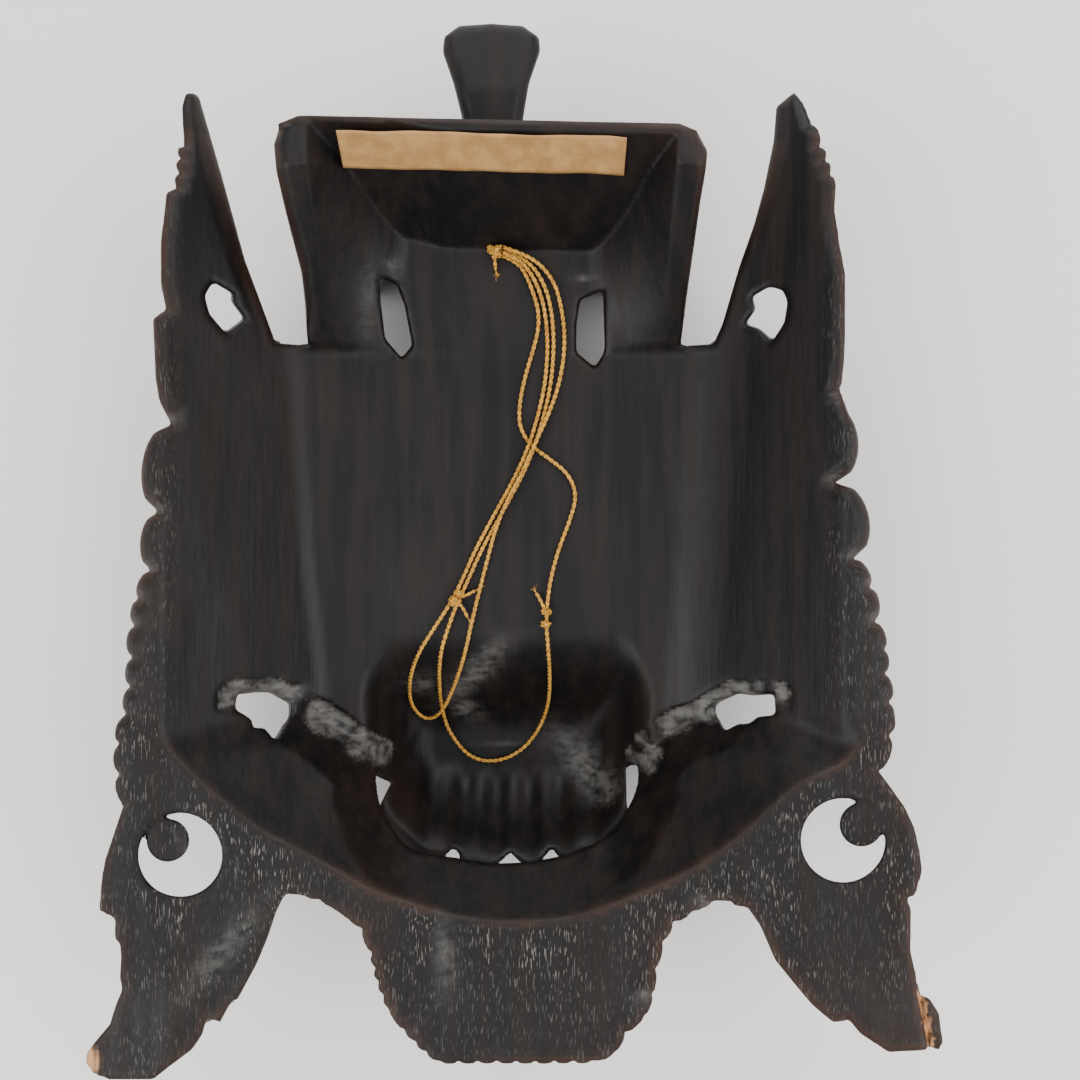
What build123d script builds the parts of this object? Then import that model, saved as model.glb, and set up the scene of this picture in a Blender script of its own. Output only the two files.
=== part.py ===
"""Carved wooden guardian mask, lying face down, with its hanging cords, knots and paper label.

Units are millimetres. +Z points out of the hollow back, +Y towards the crown, +X to the right seen
from behind. The origin is the centre of the bounding box on the surface that the mask lies on.
"""
from build123d import *
import math
import os

# ---------------------------------------------------------------- driving dimensions
RIM_Z = 108.0             # flat back of the rim, beard and scrolls
LIP_Z = 118.0             # highest edge of the crown
FOLD_Z = 60.0             # back of the wood where the floor meets the side walls
RIM_PLATE = 24.0          # thickness of the rim, beard and scrolls
WALL = 18.0               # thickness of the ears, measured upright
CORD_D = 1.8              # hanging cord
CORD_HOLE_D = 4.5         # blind hole that the cord's anchor knot sits in
LABEL_SIZE = (110.0, 18.0, 0.4)

LEFT_FOLD_X = -93.0
RIGHT_FOLD_X = 86.0
LEFT_RIM_X = -138.0
RIGHT_RIM_X = 134.0
SIDE_TOP_Y = 79.0         # where the ears begin
JAW_SPLIT_Y = -86.0       # seam between the side walls and the lower jaw
CROWN_LOW_Y = 78.0
FLOOR_LOW_Y = -48.0
CROWN_MID_X = -9.0
FACE_MID_X = -5.0


# ---------------------------------------------------------------- small helpers
def flat_face(points, z=0.0):
    """A face on the level z with the given corners."""
    corners = [(x, y, z) for x, y in points]
    return make_face(Polyline(*corners, close=True))


def plan_solid(points, low, high):
    """An upright block with the given plan outline."""
    return extrude(flat_face(points, low), amount=high - low, dir=(0, 0, 1))


def yz_solid(points, x_low, x_high):
    """A block whose side view (Y, Z) is given, running along X."""
    corners = [(x_low, y, z) for y, z in points]
    return extrude(make_face(Polyline(*corners, close=True)), amount=x_high - x_low, dir=(1, 0, 0))


def xz_solid(points, y_low, y_high):
    """A block whose end view (X, Z) is given, running along Y."""
    corners = [(x, y_low, z) for x, z in points]
    return extrude(make_face(Polyline(*corners, close=True)), amount=y_high - y_low, dir=(0, 1, 0))


def hollow_between(low_points, low_z, high_points, high_z):
    """The space between a lower and an upper outline with matching corners."""
    return loft([flat_face(low_points, low_z), flat_face(high_points, high_z)], ruled=True)


def scalloped(guide, pitch, depth):
    """Round lobes along a guide line: edges that bulge to the left of the direction of travel."""
    edges = []
    for (x0, y0), (x1, y1) in zip(guide, guide[1:]):
        run = math.hypot(x1 - x0, y1 - y0)
        count = max(1, round(run / pitch))
        normal_x, normal_y = -(y1 - y0) / run, (x1 - x0) / run
        for step in range(count):
            a, b = step / count, (step + 1) / count
            start = (x0 + (x1 - x0) * a, y0 + (y1 - y0) * a)
            end = (x0 + (x1 - x0) * b, y0 + (y1 - y0) * b)
            middle = ((start[0] + end[0]) / 2 + normal_x * depth, (start[1] + end[1]) / 2 + normal_y * depth)
            edges.append(ThreePointArc(start, middle, end))
    return edges


def plan_from_edges(edges, low, high):
    """An upright block from plan edges that join end to end."""
    face = make_face(Wire(edges))
    block = extrude(face, amount=high - low, dir=(0, 0, 1))
    return Pos(0, 0, low) * block


def line_through(*points):
    """Straight edges through plan points."""
    return [Line(a, b) for a, b in zip(points, points[1:])]


# ---------------------------------------------------------------- hollows
def side_hollow():
    """The hollow between the two sloping side walls."""
    low = [(LEFT_FOLD_X, 220), (LEFT_FOLD_X, -70), (RIGHT_FOLD_X, -70), (RIGHT_FOLD_X - 6, 220)]
    high = [(LEFT_RIM_X, 220), (LEFT_RIM_X, -60), (RIGHT_RIM_X, -60), (RIGHT_RIM_X - 4, 220)]
    return hollow_between(low, FOLD_Z, high, RIM_Z + 2)


def jaw_hollow():
    """The hollow inside the U of the lower jaw."""
    low = [(-93, -55), (-93, -70), (-79, -77), (-66, -89), (-55, -112), (-38, -125),
           (-5, -130), (34, -123), (47, -109), (55, -90), (72, -75), (86, -66), (86, -55)]
    high = [(-138, -55), (-136, -68), (-122, -93), (-105, -111), (-88, -120), (-58, -136),
            (-5, -149), (40, -140), (62, -126), (88, -107), (106, -95), (134, -66), (134, -55)]
    return hollow_between(low, 58, high, RIM_Z + 2)


def crown_hollow():
    """The pocket behind the crown: a slanted end wall and two sloping flanks."""
    low = [(-48, 110), (-48, 124.5), (33, 122.5), (33, 110)]
    high = [(-79.5, 110), (-79.5, 157.5), (60.5, 154), (60.5, 110)]
    pocket = hollow_between(low, 66, high, LIP_Z + 1)
    near = make_face(Polyline((-48, 122, 66), (33, 122, 66), (61, 122, 119), (-80, 122, 119), close=True))
    far = make_face(Polyline((-54, 68, 57.7), (40, 68, 57.7), (64, 68, 64), (-84, 68, 64), close=True))
    return pocket + loft([near, far], ruled=True)


# ---------------------------------------------------------------- openings
def eye_slots():
    """The two slots that the wearer looks through."""
    left = [(-57, 111), (-50, 109), (-48, 101), (-45, 84), (-50, 78.6), (-56, 86), (-57, 101)]
    right = [(25.5, 103), (36, 106.5), (37.5, 84), (37, 81), (33, 79), (25, 81)]
    return plan_solid(left, 10, 100) + plan_solid(right, 10, 100)


def mouth_corners():
    """The two openings at the ends of the mouth."""
    left = [(-114.5, -62.5), (-103.5, -63.5), (-97, -69), (-97, -80), (-104, -77), (-109, -76), (-114.5, -68.5)]
    right = [(85.5, -69.5), (92.5, -64), (105.5, -62), (105.5, -71), (96, -75.5), (87, -79.5)]
    return plan_solid(left, 20, 120) + plan_solid(right, 20, 120)


# ---------------------------------------------------------------- carved wood
def face_plate():
    """The floor of the hollow, with brow and cheeks on its front."""
    back_and_front = [(CROWN_LOW_Y, 59.2), (20, 55), (-38, 52.6), (-48, 50.2), (-100, 48), (-100, 34),
                      (-48, 32), (20, 37), (CROWN_LOW_Y, 42)]
    slab = yz_solid(back_and_front, LEFT_FOLD_X, RIGHT_FOLD_X)
    plan = [(LEFT_FOLD_X, CROWN_LOW_Y), (LEFT_FOLD_X, -67), (-80, -81), (-67, -92), (-67, FLOOR_LOW_Y),
            (57, FLOOR_LOW_Y), (57, -86), (70, -75), (RIGHT_FOLD_X, -63), (RIGHT_FOLD_X, CROWN_LOW_Y)]
    return slab & plan_solid(plan, 0, 120)


def nose():
    """The bridge of the nose, a wedge on the front of the face."""
    return yz_solid([(62, 40.5), (20, 37), (FLOOR_LOW_Y, 32), (FLOOR_LOW_Y, 6)], FACE_MID_X - 17, FACE_MID_X + 17)


def snout():
    """The deep bowl of nose and upper jaw that reaches down to the table."""
    rim = [(-67, FLOOR_LOW_Y), (57, FLOOR_LOW_Y), (57, -86), (50, -112), (36, -130), (14, -139),
           (-24, -139), (-46, -130), (-60, -112), (-67, -92)]
    foot = [(-56, FLOOR_LOW_Y), (46, FLOOR_LOW_Y), (46, -86), (40, -108), (27, -121), (8, -128),
            (-18, -128), (-37, -121), (-50, -108), (-56, -92)]
    body = hollow_between(foot, 0, rim, 53)
    top = [(0, 50.2), (FLOOR_LOW_Y, 50.2), (-92, 47), (-150, 42), (-150, -5), (0, -5)]
    low = [(-52, -84), (38, -84), (38, -90), (32, -103), (20, -112), (4, -116),
           (-14, -116), (-32, -112), (-46, -103), (-52, -90)]
    high = [(-60, -46), (49, -46), (49, -87), (43, -109), (30, -123), (10, -131),
            (-20, -131), (-40, -123), (-53, -109), (-60, -90)]
    return (body & yz_solid(top, -80, 80)) - hollow_between(low, 14, high, 54)


def crown():
    """The headdress block with its slanted pocket."""
    plan = [(-88, CROWN_LOW_Y), (-91, 152), (-89, 158.5), (-81.5, 162), (62.5, 159), (69, 156), (72.5, 149),
            (68, CROWN_LOW_Y)]
    profile = [(CROWN_LOW_Y, 66), (148, LIP_Z), (163, LIP_Z), (163, 50), (150, 28), (132, 0), (118, 0), (112, 10),
               (107, 38), (CROWN_LOW_Y, 42)]
    block = plan_solid(plan, 0, LIP_Z) & yz_solid(profile, -95, 80)
    cord_hole = Pos(-11.2, 124.6, 62) * Cylinder(CORD_HOLE_D / 2, 20)
    return block - crown_hollow() - eye_slots() - cord_hole


def crown_finial():
    """The club-shaped knob that stands on the crown."""
    plan = [(-23, 150), (-22, 172), (-26, 186), (-30, 196), (-28, 203), (-16, 208.5), (-3, 208.5),
            (9, 203), (11, 196), (7, 186), (4, 172), (4, 150)]
    block = plan_solid(plan, 56, 94)
    side = [(140, 62), (172, 62), (196, 56), (206, 60), (209, 76), (206, 90), (196, 94), (172, 90), (140, 90)]
    return (block & yz_solid(side, -40, 40)) - crown()


def side_bowl():
    """The outer form of the sloping side walls."""
    low = [(LEFT_FOLD_X - 6, SIDE_TOP_Y), (LEFT_FOLD_X - 6, JAW_SPLIT_Y), (RIGHT_FOLD_X + 6, JAW_SPLIT_Y),
           (RIGHT_FOLD_X + 2, SIDE_TOP_Y)]
    high = [(LEFT_RIM_X - 4, SIDE_TOP_Y), (LEFT_RIM_X - 12, JAW_SPLIT_Y), (RIGHT_RIM_X + 8, JAW_SPLIT_Y),
            (RIGHT_RIM_X - 6, SIDE_TOP_Y)]
    return hollow_between(low, FOLD_Z - 22, high, RIM_Z)


def left_side():
    """Left side wall, with the lobed rim."""
    half = plan_solid([(-170, SIDE_TOP_Y), (-170, JAW_SPLIT_Y), (LEFT_FOLD_X, JAW_SPLIT_Y),
                       (LEFT_FOLD_X, SIDE_TOP_Y)], 0, 120)
    lobes = scalloped([(-143, 41), (-142, 12), (-144, -12)], 27, -5)
    lobes += scalloped([(-144, -12), (-147, -24), (-152, -45), (-155, JAW_SPLIT_Y)], 9, -2)
    above = line_through((-155, JAW_SPLIT_Y), (-118, JAW_SPLIT_Y), (-118, SIDE_TOP_Y), (-143, SIDE_TOP_Y),
                         (-144.5, 72), (-144, 58), (-140, 48), (-143, 41))
    rim = plan_from_edges(lobes + above, RIM_Z - RIM_PLATE, RIM_Z)
    wall = (side_bowl() & half) + rim
    return wall - side_hollow() - jaw_hollow() - mouth_corners()


def right_side():
    """Right side wall, with the lobed rim."""
    half = plan_solid([(RIGHT_FOLD_X, SIDE_TOP_Y), (RIGHT_FOLD_X, JAW_SPLIT_Y), (170, JAW_SPLIT_Y),
                       (170, SIDE_TOP_Y)], 0, 120)
    lobes = scalloped([(126, 53), (127, 25), (134, -6)], 27, 6)
    lobes += scalloped([(134, -6), (141, -30), (147, -60), (141, JAW_SPLIT_Y)], 9, 2)
    above = line_through((141, JAW_SPLIT_Y), (114, JAW_SPLIT_Y), (114, SIDE_TOP_Y), (132, SIDE_TOP_Y),
                         (132.5, 70), (128.5, 57), (126, 53))
    rim = plan_from_edges(lobes + above, RIM_Z - RIM_PLATE, RIM_Z)
    wall = (side_bowl() & half) + rim
    return wall - side_hollow() - jaw_hollow() - mouth_corners()


def left_ear():
    """Left ear: a flame-shaped wing that continues the side wall, pierced once."""
    plan = [(-98, SIDE_TOP_Y), (-102, 95), (-109.5, 116), (-118, 151), (-125.5, 176), (-129, 177),
            (-130.5, 172), (-131, 157), (-133.5, 150), (-132.5, 142), (-137, 137), (-139, 117), (-139, 101),
            (-137, 91), (-142, 88), (-143, SIDE_TOP_Y)]
    hole = [(-121, 104), (-115, 100), (-115.5, 97), (-111, 91), (-118, 84), (-122.5, 91), (-124, 97.5)]
    slope = [(LEFT_FOLD_X, FOLD_Z), (LEFT_RIM_X, RIM_Z), (-146, RIM_Z), (-146, RIM_Z - WALL),
             (LEFT_FOLD_X, FOLD_Z - WALL)]
    wing = plan_solid(plan, 0, 120) & xz_solid(slope, 30, 190)
    return wing - plan_solid(hole, 0, 120)


def right_ear():
    """Right ear: the other flame-shaped wing."""
    plan = [(81, SIDE_TOP_Y), (84.5, 92), (90.5, 114), (96, 131), (103, 163), (104, 175), (112.5, 180),
            (116, 174), (120, 160), (124, 145), (127.5, 117), (129.5, 105), (129.5, 93), (132, 86),
            (132, SIDE_TOP_Y)]
    hole = [(97.5, 101), (103.5, 104), (108, 101.5), (109.5, 96.5), (108.5, 88.5), (105, 81.5), (100, 87.5),
            (95, 90), (98.5, 95.5)]
    slope = [(RIGHT_FOLD_X - 6, FOLD_Z), (RIGHT_RIM_X - 4, RIM_Z), (136, RIM_Z), (136, RIM_Z - WALL),
             (RIGHT_FOLD_X - 6, FOLD_Z - WALL)]
    wing = plan_solid(plan, 0, 120) & xz_solid(slope, 30, 190)
    return wing - plan_solid(hole, 0, 120)


def lower_jaw():
    """The U-shaped lower jaw, whose inside slopes up to the rim."""
    outer = [(-155, JAW_SPLIT_Y), (-151, -100), (-118, -132), (-89, -137), (-76, -139), (-62, -149),
             (60, -149), (66, -146), (77, -140), (90, -140), (112, -124), (139, -98), (141, JAW_SPLIT_Y)]
    inner = [(86, JAW_SPLIT_Y), (62, JAW_SPLIT_Y), (55, -91), (48, -108), (35, -123), (-5, -130), (-38, -125),
             (-55, -112), (-63, -92), (-67, JAW_SPLIT_Y), (-93, JAW_SPLIT_Y)]
    under_low = [(-104, -80), (-104, -112), (-60, -142), (50, -142), (96, -112), (96, -80)]
    under_high = [(-150, -80), (-150, -101), (-90, -149), (80, -149), (138, -101), (138, -80)]
    band = plan_solid(outer + inner, 58, RIM_Z) & hollow_between(under_low, 58, under_high, 84)
    rim = plan_solid(outer + inner, RIM_Z - RIM_PLATE, RIM_Z)
    return (band + rim) - jaw_hollow() - side_hollow() - left_side() - right_side()


def beard():
    """The flat beard plate, its edge cut in small lobes."""
    left_edge = [(-62, -149), (-56, -160), (-53, -171), (-49, -182), (-43, -190), (-35, -198), (-29, -202)]
    right_edge = [(30, -202), (39, -199), (44, -191), (51, -184), (54, -172), (57, -160), (60, -149)]
    lobes = scalloped(left_edge + right_edge, 8, -1.2)
    seam = line_through((60, -149), (-62, -149))
    return plan_from_edges(lobes + seam, RIM_Z - RIM_PLATE, RIM_Z - 1)


def crescent(mid_x, mid_y, curl_x, curl_y):
    """A round hole with a curl of wood left standing in it."""
    hole = Pos(mid_x, mid_y, 40) * Cylinder(16.5, 160)
    curl = Pos(curl_x, curl_y, 40) * Cylinder(8.8, 160)
    return hole - curl


def left_scroll():
    """The pierced scroll below the left cheek, ending in a hooked tip."""
    plan = [(-151, -100), (-156, -112), (-159, -125), (-161, -142), (-155, -146), (-154, -160), (-153, -172),
            (-157, -187), (-165, -196), (-166, -202), (-158, -208.5), (-140, -208.5), (-125, -198), (-119, -186),
            (-113, -186), (-105, -172), (-96, -153), (-90, -139), (-89, -137), (-118, -132)]
    plate = plan_solid(plan, RIM_Z - RIM_PLATE, RIM_Z)
    return plate - crescent(-129, -121, -134.5, -114) - lower_jaw() - beard()


def right_scroll():
    """The pierced scroll below the right cheek, without its mended tip."""
    plan = [(139, -98), (147, -96), (153, -106), (157, -120), (158, -130), (152, -138), (154, -152), (156, -168),
            (157, -176.5), (161.5, -197), (145, -198.5), (129, -186), (123, -186.5), (111, -175), (100, -161),
            (94, -146), (90, -140), (112, -124)]
    plate = plan_solid(plan, RIM_Z - RIM_PLATE, RIM_Z)
    return plate - crescent(127, -116, 134, -109.5) - lower_jaw() - beard()


def mended_tip():
    """The end of the right scroll, broken off and set back along a crack."""
    gap = 0.4
    plan = [(157 + gap, -176.5), (160.5, -176.5), (165, -184), (166, -194), (164.5, -197), (161.5 + gap, -197)]
    return plan_solid(plan, RIM_Z - RIM_PLATE + 2, RIM_Z - 1) - right_scroll()


# ---------------------------------------------------------------- paper label
def paper_label():
    """The strip of paper stuck on the slanted wall behind the crown."""
    length, width, thick = LABEL_SIZE
    top_y, low_y = 155.7, 123.5
    top_z, low_z = LIP_Z + 1, 66.0
    across = Vector(1, -0.025, 0).normalized()
    up_slope = Vector(0, top_y - low_y, top_z - low_z).normalized()
    outward = across.cross(up_slope).normalized()
    middle = Vector(CROWN_MID_X - 2.5, top_y, top_z) - up_slope * 11.0
    strip = Box(length, width, thick, align=(Align.CENTER, Align.CENTER, Align.MIN))
    return Plane(origin=middle + outward * 0.08, x_dir=across, z_dir=outward) * strip


# ---------------------------------------------------------------- hanging cords
LOOP_A = [
    (-5.6, 123.4, 70.5), (2.2, 121.2, 69.6), (10.3, 116.9, 67.4), (16.3, 109.3, 65.3), (18.9, 99.6, 63.8),
    (20.4, 89.0, 62.3), (20.0, 77.6, 60.6), (17.4, 65.0, 60.6), (13.0, 53.2, 61.0), (7.2, 40.8, 62.2),
    (1.9, 28.9, 59.9), (-4.4, 17.6, 58.5), (-9.4, 5.4, 57.8), (-13.2, -8.6, 55.0), (-17.0, -23.5, 54.4),
    (-20.2, -36.6, 54.6), (-22.6, -48.0, 54.2), (-26.6, -59.8, 42.6), (-31.4, -71.4, 33.2), (-36.2, -79.6, 25.0),
    (-41.8, -83.2, 18.6), (-47.0, -80.8, 19.0), (-49.8, -74.0, 26.4), (-49.2, -64.8, 36.0), (-46.6, -56.0, 45.4),
    (-42.3, -47.2, 54.2),
    (-37.6, -40.0, 54.4), (-32.4, -32.0, 54.6), (-27.3, -24.0, 55.7), (-23.3, -15.4, 54.8), (-18.7, -4.7, 55.1),
    (-12.9, 6.2, 55.6), (-6.0, 18.6, 56.1), (0.1, 29.8, 57.8), (5.3, 41.5, 60.2), (9.1, 54.4, 58.9),
    (11.9, 67.0, 59.8), (13.0, 79.2, 60.8), (12.9, 88.4, 62.1), (12.0, 97.6, 63.5), (9.7, 106.2, 65.0),
    (5.9, 113.6, 67.4), (0.5, 119.0, 69.4), (-5.8, 121.2, 70.1)]
LOOP_B = [
    (-6.0, 120.6, 67.6), (0.2, 118.2, 66.9), (4.2, 112.6, 65.8), (7.0, 105.4, 64.6), (9.2, 98.2, 63.5),
    (9.2, 90.3, 62.3), (6.6, 81.0, 60.9), (3.2, 70.0, 59.9), (0.8, 58.4, 59.0), (1.0, 48.6, 58.3),
    (6.1, 41.0, 57.8), (14.0, 35.4, 57.4), (21.9, 29.3, 57.0), (25.8, 20.3, 56.3), (23.0, 9.5, 55.7),
    (18.0, -2.9, 55.2), (14.0, -17.6, 54.8), (12.3, -33.6, 54.9), (13.4, -47.4, 54.2), (14.2, -60.0, 42.2),
    (14.0, -72.6, 29.4), (11.0, -85.0, 17.2), (3.3, -96.9, 15.3), (-8.9, -103.6, 15.3), (-22.4, -102.4, 15.3),
    (-32.2, -91.0, 15.3), (-35.4, -80.4, 19.6), (-35.8, -69.0, 31.6), (-35.0, -57.5, 44.2), (-33.2, -47.2, 54.2),
    (-30.6, -39.2, 54.5), (-28.2, -32.2, 54.8), (-25.3, -25.0, 55.7), (-21.2, -16.6, 54.8), (-16.6, -5.8, 55.1),
    (-10.7, 5.0, 55.6), (-3.8, 17.4, 56.1), (2.3, 28.6, 57.8), (7.5, 40.5, 60.2), (11.5, 53.6, 58.9),
    (14.4, 66.8, 59.8), (15.6, 79.4, 60.9), (15.6, 89.2, 62.3), (14.6, 98.8, 63.7), (12.3, 107.4, 65.2),
    (8.0, 115.0, 66.6), (1.8, 120.2, 67.5), (-5.4, 122.4, 68.5)]


def bend_radii(route):
    """Radius of the bend at each inner point: as large as its two runs allow."""
    points = [Vector(*point) for point in route]
    radii = []
    for before, here, after in zip(points, points[1:], points[2:]):
        turn = math.radians((here - before).get_angle(after - here))
        shorter = min((here - before).length, (after - here).length)
        radii.append(0.45 * shorter / math.tan(turn / 2))
    return radii


def cord_tube(route):
    """A plain round cord along its route."""
    path = FilletPolyline(*route, radius=bend_radii(route))
    start = Plane(origin=path @ 0, z_dir=path % 0)
    return sweep(start * Circle(CORD_D / 2), path=path)


def cord_loop_a():
    """The shorter hanging loop, both of its ends at the anchor knot."""
    return cord_tube(LOOP_A)


def cord_loop_b():
    """The longer hanging loop, spliced once, both of its ends at the anchor knot."""
    return cord_tube(LOOP_B)


def lump(*balls):
    """A rounded lump of wound cord, from overlapping balls given as x, y, z, radius."""
    body = None
    for x, y, z, radius in balls:
        ball = Pos(x, y, z) * Sphere(radius)
        body = ball if body is None else body + ball
    return body


def tail(start, end):
    """A short free end of cord."""
    run = Vector(*end) - Vector(*start)
    bottom = (Align.CENTER, Align.CENTER, Align.MIN)
    return Plane(origin=start, z_dir=run) * Cylinder(CORD_D / 2, run.length, align=bottom)


def anchor_knot():
    """The knot at the drilled hole on the ridge behind the crown, with its short tail."""
    body = lump((-9.4, 121.7, 70.4, 2.9), (-6.6, 121.5, 70.0, 2.8), (-11.0, 123.8, 68.6, 1.9))
    return body + tail((-9.2, 120.8, 69.0), (-9.0, 115.4, 66.8))


def tie_knot():
    """The knot that ties the two loops together, with its two tails."""
    body = lump((-27.3, -26.0, 56.0, 2.4), (-25.3, -23.2, 56.0, 2.5))
    body += tail((-24.8, -24.2, 56.4), (-18.8, -21.6, 54.6))
    return body + tail((-25.0, -26.2, 56.0), (-21.6, -33.4, 54.4))


def splice_knot():
    """Two small knots close together where the longer loop was joined, with a tail."""
    body = lump((12.6, -30.6, 55.1, 2.1), (12.4, -33.3, 55.0, 1.7), (12.5, -35.8, 55.1, 2.0))
    return body + tail((11.8, -30.2, 55.4), (8.0, -22.2, 54.6))


NODES = [face_plate, nose, snout, crown, crown_finial, left_side, right_side, left_ear, right_ear, lower_jaw, beard,
         left_scroll, right_scroll, mended_tip, paper_label, cord_loop_a, cord_loop_b, anchor_knot, tie_knot,
         splice_knot]


def main():
    """Write every node and print what each cord measures."""
    os.makedirs("parts", exist_ok=True)
    for make in NODES:
        export_step(make(), "parts/" + make.__name__ + ".step")
    for name, route in (("cord_loop_a", LOOP_A), ("cord_loop_b", LOOP_B)):
        path = FilletPolyline(*route, radius=bend_radii(route))
        section = math.pi * (CORD_D / 2) ** 2
        print(name, "length", round(path.length, 1), "volume over section times length",
              round(cord_tube(route).volume / (section * path.length), 4))
        print(name, "radii", [round(radius, 1) for radius in bend_radii(route)])


main()
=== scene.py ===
"""Looks for the carved wooden mask: carved wood, twisted cords, knots and a blank paper strip.

The carved wood is one field, worked out in millimetres in the frame of the CAD model and cut into the
same sections as the CAD nodes. Each section becomes one mesh that stands for its node.
"""

import math

import bpy
import numpy as np
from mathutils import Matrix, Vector


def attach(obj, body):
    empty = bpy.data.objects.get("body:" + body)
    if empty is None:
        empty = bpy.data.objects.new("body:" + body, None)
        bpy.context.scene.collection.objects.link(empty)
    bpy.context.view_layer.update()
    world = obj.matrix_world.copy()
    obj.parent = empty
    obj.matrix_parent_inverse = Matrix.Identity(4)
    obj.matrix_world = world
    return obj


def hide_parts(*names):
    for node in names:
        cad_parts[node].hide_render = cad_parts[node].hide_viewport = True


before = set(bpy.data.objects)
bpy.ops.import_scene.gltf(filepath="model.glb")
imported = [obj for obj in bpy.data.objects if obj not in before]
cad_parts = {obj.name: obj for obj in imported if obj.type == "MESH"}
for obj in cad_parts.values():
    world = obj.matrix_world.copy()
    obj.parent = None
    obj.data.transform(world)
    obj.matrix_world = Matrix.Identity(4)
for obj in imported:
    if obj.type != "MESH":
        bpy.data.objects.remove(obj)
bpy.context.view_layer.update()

MM = 0.001
RIM_Z = 108.0            # flat back of the rim, beard and scrolls
LIP_Z = 118.0            # highest edge of the crown
LEFT_FOLD_X = -93.0      # where the floor meets the left side wall
RIGHT_FOLD_X = 86.0      # where it meets the right one
SIDE_TOP_Y = 79.0        # seam between side walls and ears
JAW_SPLIT_Y = -86.0      # seam between side walls and lower jaw
CROWN_LOW_Y = 78.0       # seam between floor and crown
FINIAL_LOW_Y = 150.0     # seam between crown and knob
FLOOR_LOW_Y = -48.0      # where the floor turns down into the bowl
NOSE_BACK_Z = 33.0       # seam between the nose and the floor behind it
CORD_D = 1.8             # outside of the two twisted plies
TWIST_PITCH = 0.0052     # length in metres of one whole turn of the plies
STEP = 1.25      # size of one cell of the field


# ---- two-dimensional field tools
class Plan:
    """The grid of the field seen from above, with x and y in millimetres."""
    low = (-172.0, -213.0, -4.0)
    high = (172.0, 213.0, 123.0)
    xs = np.arange(low[0], high[0], STEP, dtype=np.float32)
    ys = np.arange(low[1], high[1], STEP, dtype=np.float32)
    zs = np.arange(low[2], high[2], STEP, dtype=np.float32)


X, Y = np.meshgrid(Plan.xs, Plan.ys, indexing="ij")
Z = Plan.zs[None, None, :]


def between(a, b, c, d, t):
    """The point at t, from 0 to 1, on the smooth curve from b to c, with a before and d after them."""
    return 0.5 * (2 * b + (c - a) * t + (2 * a - 5 * b + 4 * c - d) * t * t
                  + (3 * b - a - 3 * c + d) * t ** 3)


def smooth_loop(points, steps):
    """A closed smooth curve through the points, with this many steps to each."""
    p = np.array(points, float)
    count = len(p)
    out = []
    for i in range(count):
        for k in range(steps):
            out.append(between(p[i - 1], p[i], p[(i + 1) % count], p[(i + 2) % count], k / steps))
    return np.array(out)


def polygon_distance(points):
    """Signed distance from a closed outline seen from above, negative inside."""
    p = np.array(points, np.float32)
    nearest = np.full(X.shape, 1e9, np.float32)
    inside = np.zeros(X.shape, bool)
    for (ax, ay), (bx, by) in zip(p, np.roll(p, -1, axis=0)):
        ex, ey = bx - ax, by - ay
        length2 = ex * ex + ey * ey
        if length2 < 1e-9:
            continue
        t = np.clip(((X - ax) * ex + (Y - ay) * ey) / length2, 0, 1)
        nearest = np.minimum(nearest, (X - ax - t * ex) ** 2 + (Y - ay - t * ey) ** 2)
        crosses = (ay > Y) != (by > Y)
        if by != ay:
            inside ^= crosses & (X < (bx - ax) * (Y - ay) / (by - ay) + ax)
    return np.where(inside, -1, 1) * np.sqrt(nearest)


def union(*outlines):
    """Signed distance from the nearest of several outlines."""
    return np.minimum.reduce([polygon_distance(points) for points in outlines])


def smin(a, b, k):
    """Smooth minimum with blend width k."""
    h = np.clip(0.5 + 0.5 * (b - a) / k, 0, 1)
    return b + (a - b) * h - k * h * (1 - h)


def smax(a, b, k):
    """Smooth maximum with blend width k."""
    return -smin(-a, -b, k)


def bell(value, width, other=0.0, other_width=1.0):
    """A soft bump, 1 high where value and other are both 0."""
    return np.exp(-(value / width) ** 2 - (other / other_width) ** 2)


def fade(value, low, high):
    """0 below low, 1 above high, smooth between them."""
    t = np.clip((value - low) / (high - low), 0, 1)
    return t * t * (3 - 2 * t)


def lattice(seed, x, y, size):
    """Smooth value noise from -1 to 1 with the given feature size."""
    rng = np.random.default_rng(seed)
    table = rng.uniform(-1, 1, (64, 64)).astype(np.float32)
    u, v = x / size, y / size
    i, j = np.floor(u).astype(int), np.floor(v).astype(int)
    fu, fv = u - i, v - j
    fu, fv = fu * fu * (3 - 2 * fu), fv * fv * (3 - 2 * fv)
    a, b = table[i % 64, j % 64], table[(i + 1) % 64, j % 64]
    c, d = table[i % 64, (j + 1) % 64], table[(i + 1) % 64, (j + 1) % 64]
    return (a * (1 - fu) + b * fu) * (1 - fv) + (c * (1 - fu) + d * fu) * fv


def gouges(seed, x, y, width, length, lean=0.0):
    """Chisel strokes: shallow round-bottomed troughs, 0 at their ridges and -1 at their deepest."""
    c, s = math.cos(lean), math.sin(lean)
    across, along = x * c - y * s, x * s + y * c
    drift = 0.35 * width * lattice(seed, across, along, 5 * width)
    column = np.floor((across + drift) / width)
    rng = np.random.default_rng(seed + 1)
    shift = rng.uniform(0, length, 512)[column.astype(int) % 512]
    u = (across + drift) / width - column - 0.5
    v = np.mod(along + shift, length) / length
    return -(1 - 4 * u * u) * (0.35 + 0.65 * v)


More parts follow.
